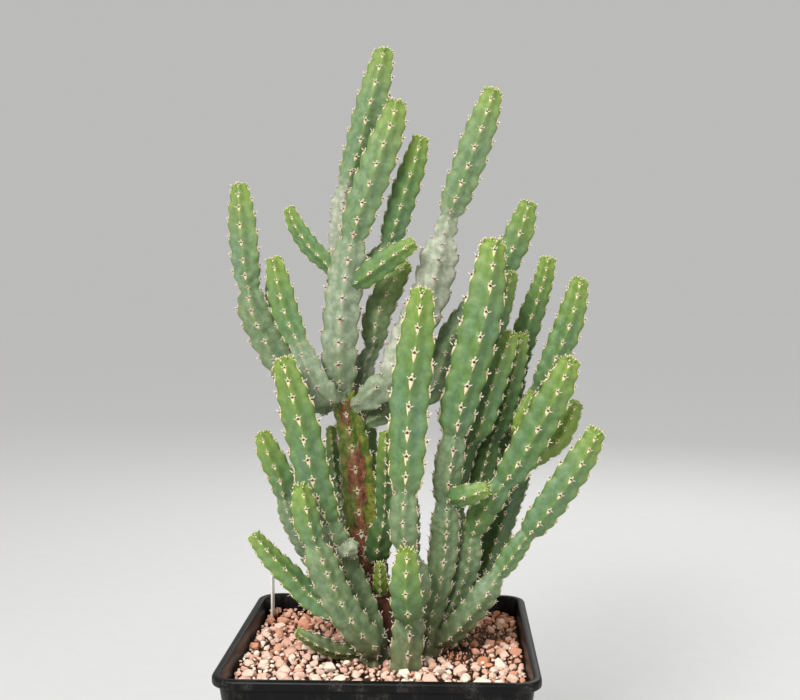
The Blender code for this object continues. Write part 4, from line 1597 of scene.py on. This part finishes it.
def areole_points(context):
    """Places, directions, sizes and ages of the spine cushions."""
    height = context.scene.euphorbia_stems.bump_height
    lines = stem_lines(context)
    rng = np.random.default_rng(77)
    found = {key: [] for key in ("place", "outward", "upward", "size", "age", "fresh")}
    rise = 1.0 + height * (bump_profile(AREOLE_PLACE) - BUMP_MIDDLE)
    for name, line in lines.items():
        along = line["along"]
        others = [other for key, other in lines.items() if key != name]
        around = np.vstack([other["centre"][::2] for other in others])
        widths = np.concatenate([other["reach"][::2] for other in others])
        for rib in range(RIBS):
            first = math.ceil(along[0] + RIB_LAG * rib - AREOLE_PLACE)
            final = math.floor(along[-1] + RIB_LAG * rib - AREOLE_PLACE)
            for count in range(first, final + 1):
                want = count + AREOLE_PLACE - RIB_LAG * rib
                k = int(np.clip(np.searchsorted(along, want), 2, len(along) - 2))
                part = (want - along[k - 1]) / max(along[k] - along[k - 1], 1e-9)
                part = min(max(part, 0.0), 1.0)

                def at(key):
                    return line[key][k - 1] * (1.0 - part) + line[key][k] * part

                turn = TAU * rib / RIBS
                out = unit(at("side") * math.cos(turn) + at("across") * math.sin(turn))
                up = unit(at("way"))
                reach = at("reach")
                if reach < 0.28 * at("belly"):
                    continue
                place = at("centre") + out * reach * rise
                if place[2] < 0.8:
                    continue
                # A cushion that another stem would cover is left out.
                apart = np.linalg.norm(around - place, axis=1)
                if (apart < widths * 0.84).any():
                    continue
                ahead = min(k + 3, len(along) - 1)
                narrowing = line["reach"][k - 1] - line["reach"][ahead]
                run = np.linalg.norm(line["centre"][ahead] - line["centre"][k - 1])
                lean = min(max(narrowing / max(run, 0.3), -0.5), 1.4)
                outward = unit(out + up * (0.10 + lean))
                upward = unit(up - outward * up.dot(outward))
                scale = min(max(at("belly") / 8.8, 0.62), 1.12)
                pinch = min(1.0, 0.5 + 0.5 * reach / at("belly"))
                scale = scale * pinch * (0.90 + 0.2 * rng.random())
                old = at("age")
                found["place"].append(lifted(place))
                found["outward"].append(outward)
                found["upward"].append(upward)
                length = SHIELD_LENGTH.get(name, 1.0) - 0.30 * old - 0.30 * (1.0 - pinch)
                found["size"].append((scale, scale * length, scale))
                found["age"].append(min(1.0, 1.5 * old + 0.7 * at("cork")))
                found["fresh"].append(at("fresh"))
    return found


def tooth_points(context):
    """Places, directions and sizes of the small teeth that crown each growing tip."""
    rng = np.random.default_rng(31)
    found = {key: [] for key in ("place", "outward", "upward", "size", "age", "fresh")}
    for name, line in stem_lines(context).items():
        if name in OLD_STEMS:
            continue
        apex, way, side, across = (line[key][-1] for key in ("centre", "way", "side", "across"))
        radius = line["reach"][np.argmax(line["to_tip"] < 2.5)]
        for count, share, lean in ((RIBS, 0.80, 0.75), (RIBS, 0.48, 0.35), (2, 0.16, 0.10)):
            for k in range(count):
                turn = TAU * (k + (0.5 if share < 0.6 else 0.0) + 0.25 * (rng.random() - 0.5)) / count
                out = side * math.cos(turn) + across * math.sin(turn)
                drop = DOME * (1.0 - math.sqrt(1.0 - share * share)) * radius
                place = apex + out * radius * share - way * (drop + 0.35)
                outward = unit(out * lean + way)
                found["place"].append(lifted(place))
                found["outward"].append(outward)
                found["upward"].append(unit(way - outward * way.dot(outward) + out * 1e-3))
                scale = min(max(radius / 6.2, 0.55), 1.1) * (0.75 + 0.5 * rng.random())
                found["size"].append((scale, scale, scale))
                found["age"].append(line["age"][-1])
                found["fresh"].append(line["fresh"][-1])
    return found


def tooth_shape():
    """A blunt green tooth with a horny point."""
    bm = bmesh.new()
    mark = bm.verts.layers.float.new("along_tooth")
    rings = []
    for radius, height, part in ((1.10, -0.7, 0.0), (1.00, 0.5, 0.3), (0.55, 1.35, 0.65), (0.16, 2.3, 1.0)):
        ring = []
        for k in range(6):
            turn = TAU * k / 6
            vert = bm.verts.new((
                radius * math.cos(turn) * MM, radius * math.sin(turn) * MM, height * MM,
            ))
            vert[mark] = part
            ring.append(vert)
        rings.append(ring)
    for a, b in zip(rings, rings[1:]):
        for k in range(6):
            bm.faces.new((a[k], a[(k + 1) % 6], b[(k + 1) % 6], b[k]))
    bm.faces.new(list(reversed(rings[0])))
    bm.faces.new(rings[-1])
    bmesh.ops.recalc_face_normals(bm, faces=bm.faces)
    made = mesh_of(bm, "tooth_shape")
    made.shade_smooth()
    return made


def shield_shape():
    """The horny shield: a small kite that folds over the crest, point down."""
    bm = bmesh.new()
    mark = bm.verts.layers.float.new("border")
    # The ridge's place and height, then the border's half width, place and height
    rows = (
        ((1.45, -0.20), (0.62, 1.30, -0.42)),
        ((0.60, 0.24), (1.10, 0.45, -0.40)),
        ((-0.70, 0.26), (0.88, -0.70, -0.30)),
        ((-1.90, 0.12), (0.46, -1.85, -0.12)),
        ((-2.65, -0.12), (0.08, -2.60, -0.16)),
    )
    for sign in (-1.0, 1.0):
        strip = []
        for (y, z), (half, edge_y, edge_z) in rows:
            ridge = bm.verts.new((0.0, y * MM, z * MM))
            inner = bm.verts.new((
                sign * half * 0.66 * MM, (y + edge_y) / 2.0 * MM, (z * 0.45 + edge_z * 0.55) * MM,
            ))
            edge = bm.verts.new((sign * half * MM, edge_y * MM, edge_z * MM))
            edge[mark] = 1.0
            under = bm.verts.new((0.0, y * MM, -1.1 * MM))
            strip.append((ridge, inner, edge, under))
        for a, b in zip(strip, strip[1:]):
            for k in range(3):
                bm.faces.new((a[k], a[k + 1], b[k + 1], b[k]))
        bm.faces.new(strip[0])
        bm.faces.new(strip[-1])
    bmesh.ops.remove_doubles(bm, verts=bm.verts, dist=0.001 * MM)
    bmesh.ops.recalc_face_normals(bm, faces=bm.faces)
    return mesh_of(bm, "shield_shape")


def spine_shape(length):
    """Two short spines that spread sideways, marked from foot to point."""
    bm = bmesh.new()
    mark = bm.verts.layers.float.new("along_spine")
    for sign in (-1.0, 1.0):
        way = Vector((0.62 * sign, 0.42, 0.74)).normalized()
        side = way.cross(Vector((0.0, 1.0, 0.0))).normalized()
        other = way.cross(side)
        foot = Vector((0.62 * sign, 0.35, -0.10)) * MM
        rings = []
        for part, radius in ((0.0, 0.26), (0.35, 0.18), (0.75, 0.11)):
            ring = []
            for k in range(5):
                turn = TAU * k / 5
                around = (side * math.cos(turn) + other * math.sin(turn)) * radius * MM
                vert = bm.verts.new(foot + way * length * part + around)
                vert[mark] = part
                ring.append(vert)
            rings.append(ring)
        point = bm.verts.new(foot + way * length)
        point[mark] = 1.0
        for a, b in zip(rings, rings[1:]):
            for k in range(5):
                bm.faces.new((a[k], a[(k + 1) % 5], b[(k + 1) % 5], b[k]))
        for k in range(5):
            bm.faces.new((rings[-1][k], rings[-1][(k + 1) % 5], point))
        bm.faces.new(list(reversed(rings[0])))
    bmesh.ops.recalc_face_normals(bm, faces=bm.faces)
    made = mesh_of(bm, "spine_shape")
    made.shade_smooth()
    return made


def eye_shape():
    """The dark bud over the spines and the pale leaf scar above it."""
    bm = bmesh.new()
    mark = bm.verts.layers.float.new("dark")
    for y, wide, tall, high, dark in ((0.40, 0.58, 0.60, 0.62, 1.0), (1.85, 0.50, 0.58, 0.14, 0.0)):
        rings = []
        for part, lift in ((1.0, -0.55), (0.95, 0.0), (0.55, 0.8)):
            ring = []
            for k in range(7):
                turn = TAU * k / 7
                ring.append(bm.verts.new((
                    wide * part * math.cos(turn) * MM,
                    (y + tall * part * math.sin(turn)) * MM,
                    (high * lift + (-0.35 if lift < 0.0 else 0.0)) * MM,
                )))
            rings.append(ring)
        top = bm.verts.new((0.0, y * MM, high * MM))
        for vert in [v for ring in rings for v in ring] + [top]:
            vert[mark] = dark
        for a, b in zip(rings, rings[1:]):
            for k in range(7):
                bm.faces.new((a[k], a[(k + 1) % 7], b[(k + 1) % 7], b[k]))
        for k in range(7):
            bm.faces.new((rings[-1][k], rings[-1][(k + 1) % 7], top))
        bm.faces.new(list(reversed(rings[0])))
    bmesh.ops.recalc_face_normals(bm, faces=bm.faces)
    made = mesh_of(bm, "eye_shape")
    made.shade_smooth()
    return made


def cushion_tree():
    """Set a shape on every cushion point, upright on the stem's skin."""
    tree, source = geometry_tree(
        "cushion_set",
        {"Shape": "Object", "Spread": "Float", "Seed": "Int", "Material": "Material"},
    )
    shape = add_node(
        tree, "GeometryNodeObjectInfo", {"transform_space": "ORIGINAL"},
        {"Object": source.outputs["Shape"]},
    )
    facing = add_node(
        tree, "FunctionNodeAxesToRotation", {"primary_axis": "Z", "secondary_axis": "Y"},
        {"Primary Axis": named(tree, "outward", "FLOAT_VECTOR"),
         "Secondary Axis": named(tree, "upward", "FLOAT_VECTOR")},
    )
    spread = Value(tree, source.outputs["Spread"])
    sway = add_node(
        tree, "FunctionNodeRandomValue", {"data_type": "FLOAT"},
        {"Min": 0.0 - spread, "Max": spread, "Seed": source.outputs["Seed"]},
    )
    swing = add_node(
        tree, "ShaderNodeCombineXYZ", None, {"Z": Value(tree, sway.outputs[1])},
    )
    local = add_node(tree, "FunctionNodeEulerToRotation", None, {"Euler": swing.outputs[0]})
    turned = add_node(
        tree, "FunctionNodeRotateRotation", {"rotation_space": "LOCAL"},
        {"Rotation": facing.outputs["Rotation"], "Rotate By": local.outputs["Rotation"]},
    )
    placed = add_node(
        tree, "GeometryNodeInstanceOnPoints", None,
        {"Points": source.outputs["Geometry"], "Instance": shape.outputs["Geometry"],
         "Rotation": turned.outputs["Rotation"],
         "Scale": named(tree, "size", "FLOAT_VECTOR")},
    )
    close_tree(tree, placed.outputs["Instances"], source.outputs["Material"])
    return tree


def shield_horn(settings):
    """Cream horn, greyer and pinker on old growths."""
    finish = Finish("shield_horn", {"Specular IOR Level": 0.4})
    age = finish.attribute("age")
    fresh = finish.attribute("fresh")
    fine = finish.noise(1800.0, 3.0, 0.6)
    broad = finish.noise(240.0, 2.0, 0.5)
    old = finish.mix(broad.within(0.35, 0.65), (0.36, 0.22, 0.17), (0.60, 0.50, 0.45))
    colour = finish.mix(age.clipped(), tuple(settings.cushion), old)
    colour = finish.mix(fresh.clipped() * 0.6, colour, (0.66, 0.66, 0.28))
    colour = finish.mix(fine.within(0.52, 0.75) * 0.4, colour, (0.30, 0.17, 0.09))
    border = finish.attribute("border").within(0.15, 0.95) * (0.5 + broad * 0.6)
    colour = finish.mix(border.clipped() * 0.75, colour, (0.19, 0.10, 0.045))
    return finish.finish(colour, 0.5 + fine * 0.3, fine, 0.25 * MM, 0.6)


def spine_horn():
    """Brown at the foot, pale at the point."""
    finish = Finish("spine_horn", {"Specular IOR Level": 0.4})
    part = finish.attribute("along_spine")
    fine = finish.noise(1500.0, 2.0, 0.5)
    colour = finish.mix(part.within(0.02, 0.30), (0.20, 0.085, 0.045), (0.84, 0.78, 0.66))
    colour = finish.mix(fine.within(0.58, 0.78) * 0.25, colour, (0.50, 0.30, 0.18))
    return finish.finish(colour, 0.42 + fine * 0.25, fine, 0.1 * MM, 0.4)


def tooth_skin(settings):
    """Yellow-green flesh that ends in a cream and brown point."""
    finish = Finish("tip_tooth_skin", {"Specular IOR Level": 0.4})
    part = finish.attribute("along_tooth")
    fine = finish.noise(1300.0, 3.0, 0.6)
    broad = finish.noise(300.0, 2.0, 0.5)
    flesh = finish.mix(broad.within(0.35, 0.65), (0.125, 0.215, 0.028), tuple(settings.fresh))
    colour = finish.mix(part.within(0.50, 0.80), flesh, (0.66, 0.58, 0.34))
    colour = finish.mix(part.within(0.84, 0.98) * broad.within(0.40, 0.60), colour, (0.22, 0.09, 0.05))
    return finish.finish(colour, 0.45 + fine * 0.3, fine, 0.2 * MM, 0.5)


def eye_skin():
    """Near-black buds and pale greenish leaf scars."""
    finish = Finish("eye_skin", {"Specular IOR Level": 0.45})
    dark = finish.attribute("dark")
    fine = finish.noise(1600.0, 2.0, 0.5)
    pale = finish.mix(fine.within(0.3, 0.7), (0.42, 0.44, 0.24), (0.60, 0.58, 0.40))
    black = finish.mix(fine.within(0.3, 0.7), (0.022, 0.016, 0.010), (0.075, 0.040, 0.022))
    colour = finish.mix(dark, pale, black)
    return finish.finish(colour, 0.45 + fine * 0.3, fine, 0.15 * MM, 0.5)


class EUPHORBIA_OT_cushions(bpy.types.Operator):
    """Set the shields, spines and buds on the crests, and the teeth on the tips"""

    bl_idname = "euphorbia.cushions"
    bl_label = "Shields, Spines, Buds and Teeth"

    def execute(self, context):
        settings = context.scene.euphorbia_stems
        areoles, teeth = areole_points(context), tooth_points(context)
        tree = cushion_tree()
        spines = spine_shape(settings.spine_length)
        # Name, points, shape, finish, and how far each one may be turned
        kinds = (
            ("areole_shields", areoles, shield_shape(), shield_horn(settings), 0.08),
            ("areole_spines", areoles, spines, spine_horn(), 0.35),
            ("areole_buds", areoles, eye_shape(), eye_skin(), 0.10),
            ("tip_teeth", teeth, tooth_shape(), tooth_skin(settings), 3.0),
        )
        for seed, (name, found, shape, finish, spread) in enumerate(kinds):
            numbers = {"age": found["age"], "fresh": found["fresh"]}
            vectors = {key: found[key] for key in ("outward", "upward", "size")}
            pattern = link(name + "_shape", shape)
            carrier = link(name + "_points", point_mesh(name, found["place"], numbers, vectors))
            values = {"Shape": pattern, "Spread": spread, "Seed": seed, "Material": finish}
            made = run_tree(tree, carrier, values)
            bpy.data.objects.remove(pattern, do_unlink=True)
            drop_attributes(made, ("outward", "upward", "size"))
            set_piece(name, made, finish)
        return {"FINISHED"}


# ------------------------------------------------------------------ stage

def soft_light(name, at, size, power):
    """A round soft light that looks at the middle of the plant."""
    lamp = bpy.data.lights.new(name, "AREA")
    lamp.shape = "DISK"
    lamp.size = size
    lamp.energy = power
    made = bpy.data.objects.new(name, lamp)
    bpy.context.scene.collection.objects.link(made)
    made.location = at
    made.rotation_euler = (Vector(LIT_POINT) - Vector(at)).to_track_quat("-Z", "Y").to_euler()


class EUPHORBIA_OT_stage(bpy.types.Operator):
    """Set the floor, the soft lights and the camera"""

    bl_idname = "euphorbia.stage"
    bl_label = "Stage"

    def execute(self, context):
        settings = context.scene.euphorbia_stage
        scene = context.scene
        bm = bmesh.new()
        bmesh.ops.create_circle(bm, cap_ends=True, segments=96, radius=FLOOR_RADIUS)
        bmesh.ops.translate(bm, verts=bm.verts, vec=(0.0, 0.0, -0.0002))
        floor = link("floor", mesh_of(bm, "floor"))
        finish = Finish("floor_paper", {"Roughness": 0.9, "Specular IOR Level": 0.2})
        grain = finish.noise(60.0, 3.0, 0.6)
        colour = finish.scaled(tuple(settings.floor), 0.97 + grain * 0.06)
        floor.data.materials.append(finish.finish(colour))
        world = bpy.data.worlds.new("soft_room")
        world.use_nodes = True
        sky = world.node_tree.nodes["Background"]
        sky.inputs["Color"].default_value = (1.0, 0.995, 0.98, 1.0)
        sky.inputs["Strength"].default_value = 0.50
        scene.world = world
        soft_light("key_light", (-0.40, -1.15, 0.95), 0.45, settings.key_power)
        soft_light("fill_light", (0.9, -0.9, 0.45), 0.6, 2.5)
        soft_light("back_light", (0.35, 1.1, 1.0), 0.7, 5.0)
        sun = bpy.data.lights.new("room_light", "SUN")
        sun.energy = 0.9
        sun.angle = math.radians(40.0)
        room = bpy.data.objects.new("room_light", sun)
        scene.collection.objects.link(room)
        room.rotation_euler = (math.radians(38.0), 0.0, math.radians(-20.0))
        lens = bpy.data.cameras.new("camera")
        lens.lens = settings.lens
        lens.sensor_width = 36.0
        lens.clip_start = 0.01
        lens.clip_end = 60.0
        camera = bpy.data.objects.new("camera", lens)
        scene.collection.objects.link(camera)
        yaw, pitch, roll = (math.radians(angle) for angle in CAMERA_TURN)
        looking = Matrix.Rotation(yaw, 4, "Z") @ Matrix.Rotation(math.pi / 2.0 + pitch, 4, "X")
        place = Matrix.Translation(CAMERA_PLACE)
        camera.matrix_world = place @ looking @ Matrix.Rotation(roll, 4, "Z")
        scene.camera = camera
        scene.view_settings.view_transform = "Standard"
        return {"FINISHED"}


# ------------------------------------------------------------------ add-on

STEPS = (
    EUPHORBIA_OT_pot, EUPHORBIA_OT_label, EUPHORBIA_OT_filling, EUPHORBIA_OT_stems,
    EUPHORBIA_OT_cushions, EUPHORBIA_OT_stage,
)
SETTINGS = {
    "euphorbia_pot": PotSettings,
    "euphorbia_gravel": GravelSettings,
    "euphorbia_stems": StemSettings,
    "euphorbia_stage": StageSettings,
}


class EUPHORBIA_PT_panel(bpy.types.Panel):
    """Lists the steps that build the plant"""

    bl_idname = "EUPHORBIA_PT_panel"
    bl_label = "Potted Euphorbia"
    bl_space_type = "VIEW_3D"
    bl_region_type = "UI"
    bl_category = "Euphorbia"

    def draw(self, context):
        for key, group in SETTINGS.items():
            box = self.layout.box()
            held = getattr(context.scene, key)
            for name in group.__annotations__:
                box.prop(held, name)
        for step in STEPS:
            self.layout.operator(step.bl_idname)


def register():
    for group in SETTINGS.values():
        bpy.utils.register_class(group)
    for key, group in SETTINGS.items():
        setattr(bpy.types.Scene, key, PointerProperty(type=group))
    for made in (*STEPS, EUPHORBIA_PT_panel):
        bpy.utils.register_class(made)


def unregister():
    for made in reversed((*STEPS, EUPHORBIA_PT_panel)):
        bpy.utils.unregister_class(made)
    for key in SETTINGS:
        delattr(bpy.types.Scene, key)
    for group in reversed(SETTINGS.values()):
        bpy.utils.unregister_class(group)


def main():
    register()
    for step in STEPS:
        group, name = step.bl_idname.split(".")
        getattr(getattr(bpy.ops, group), name)()


if __name__ == "__main__":
    main()
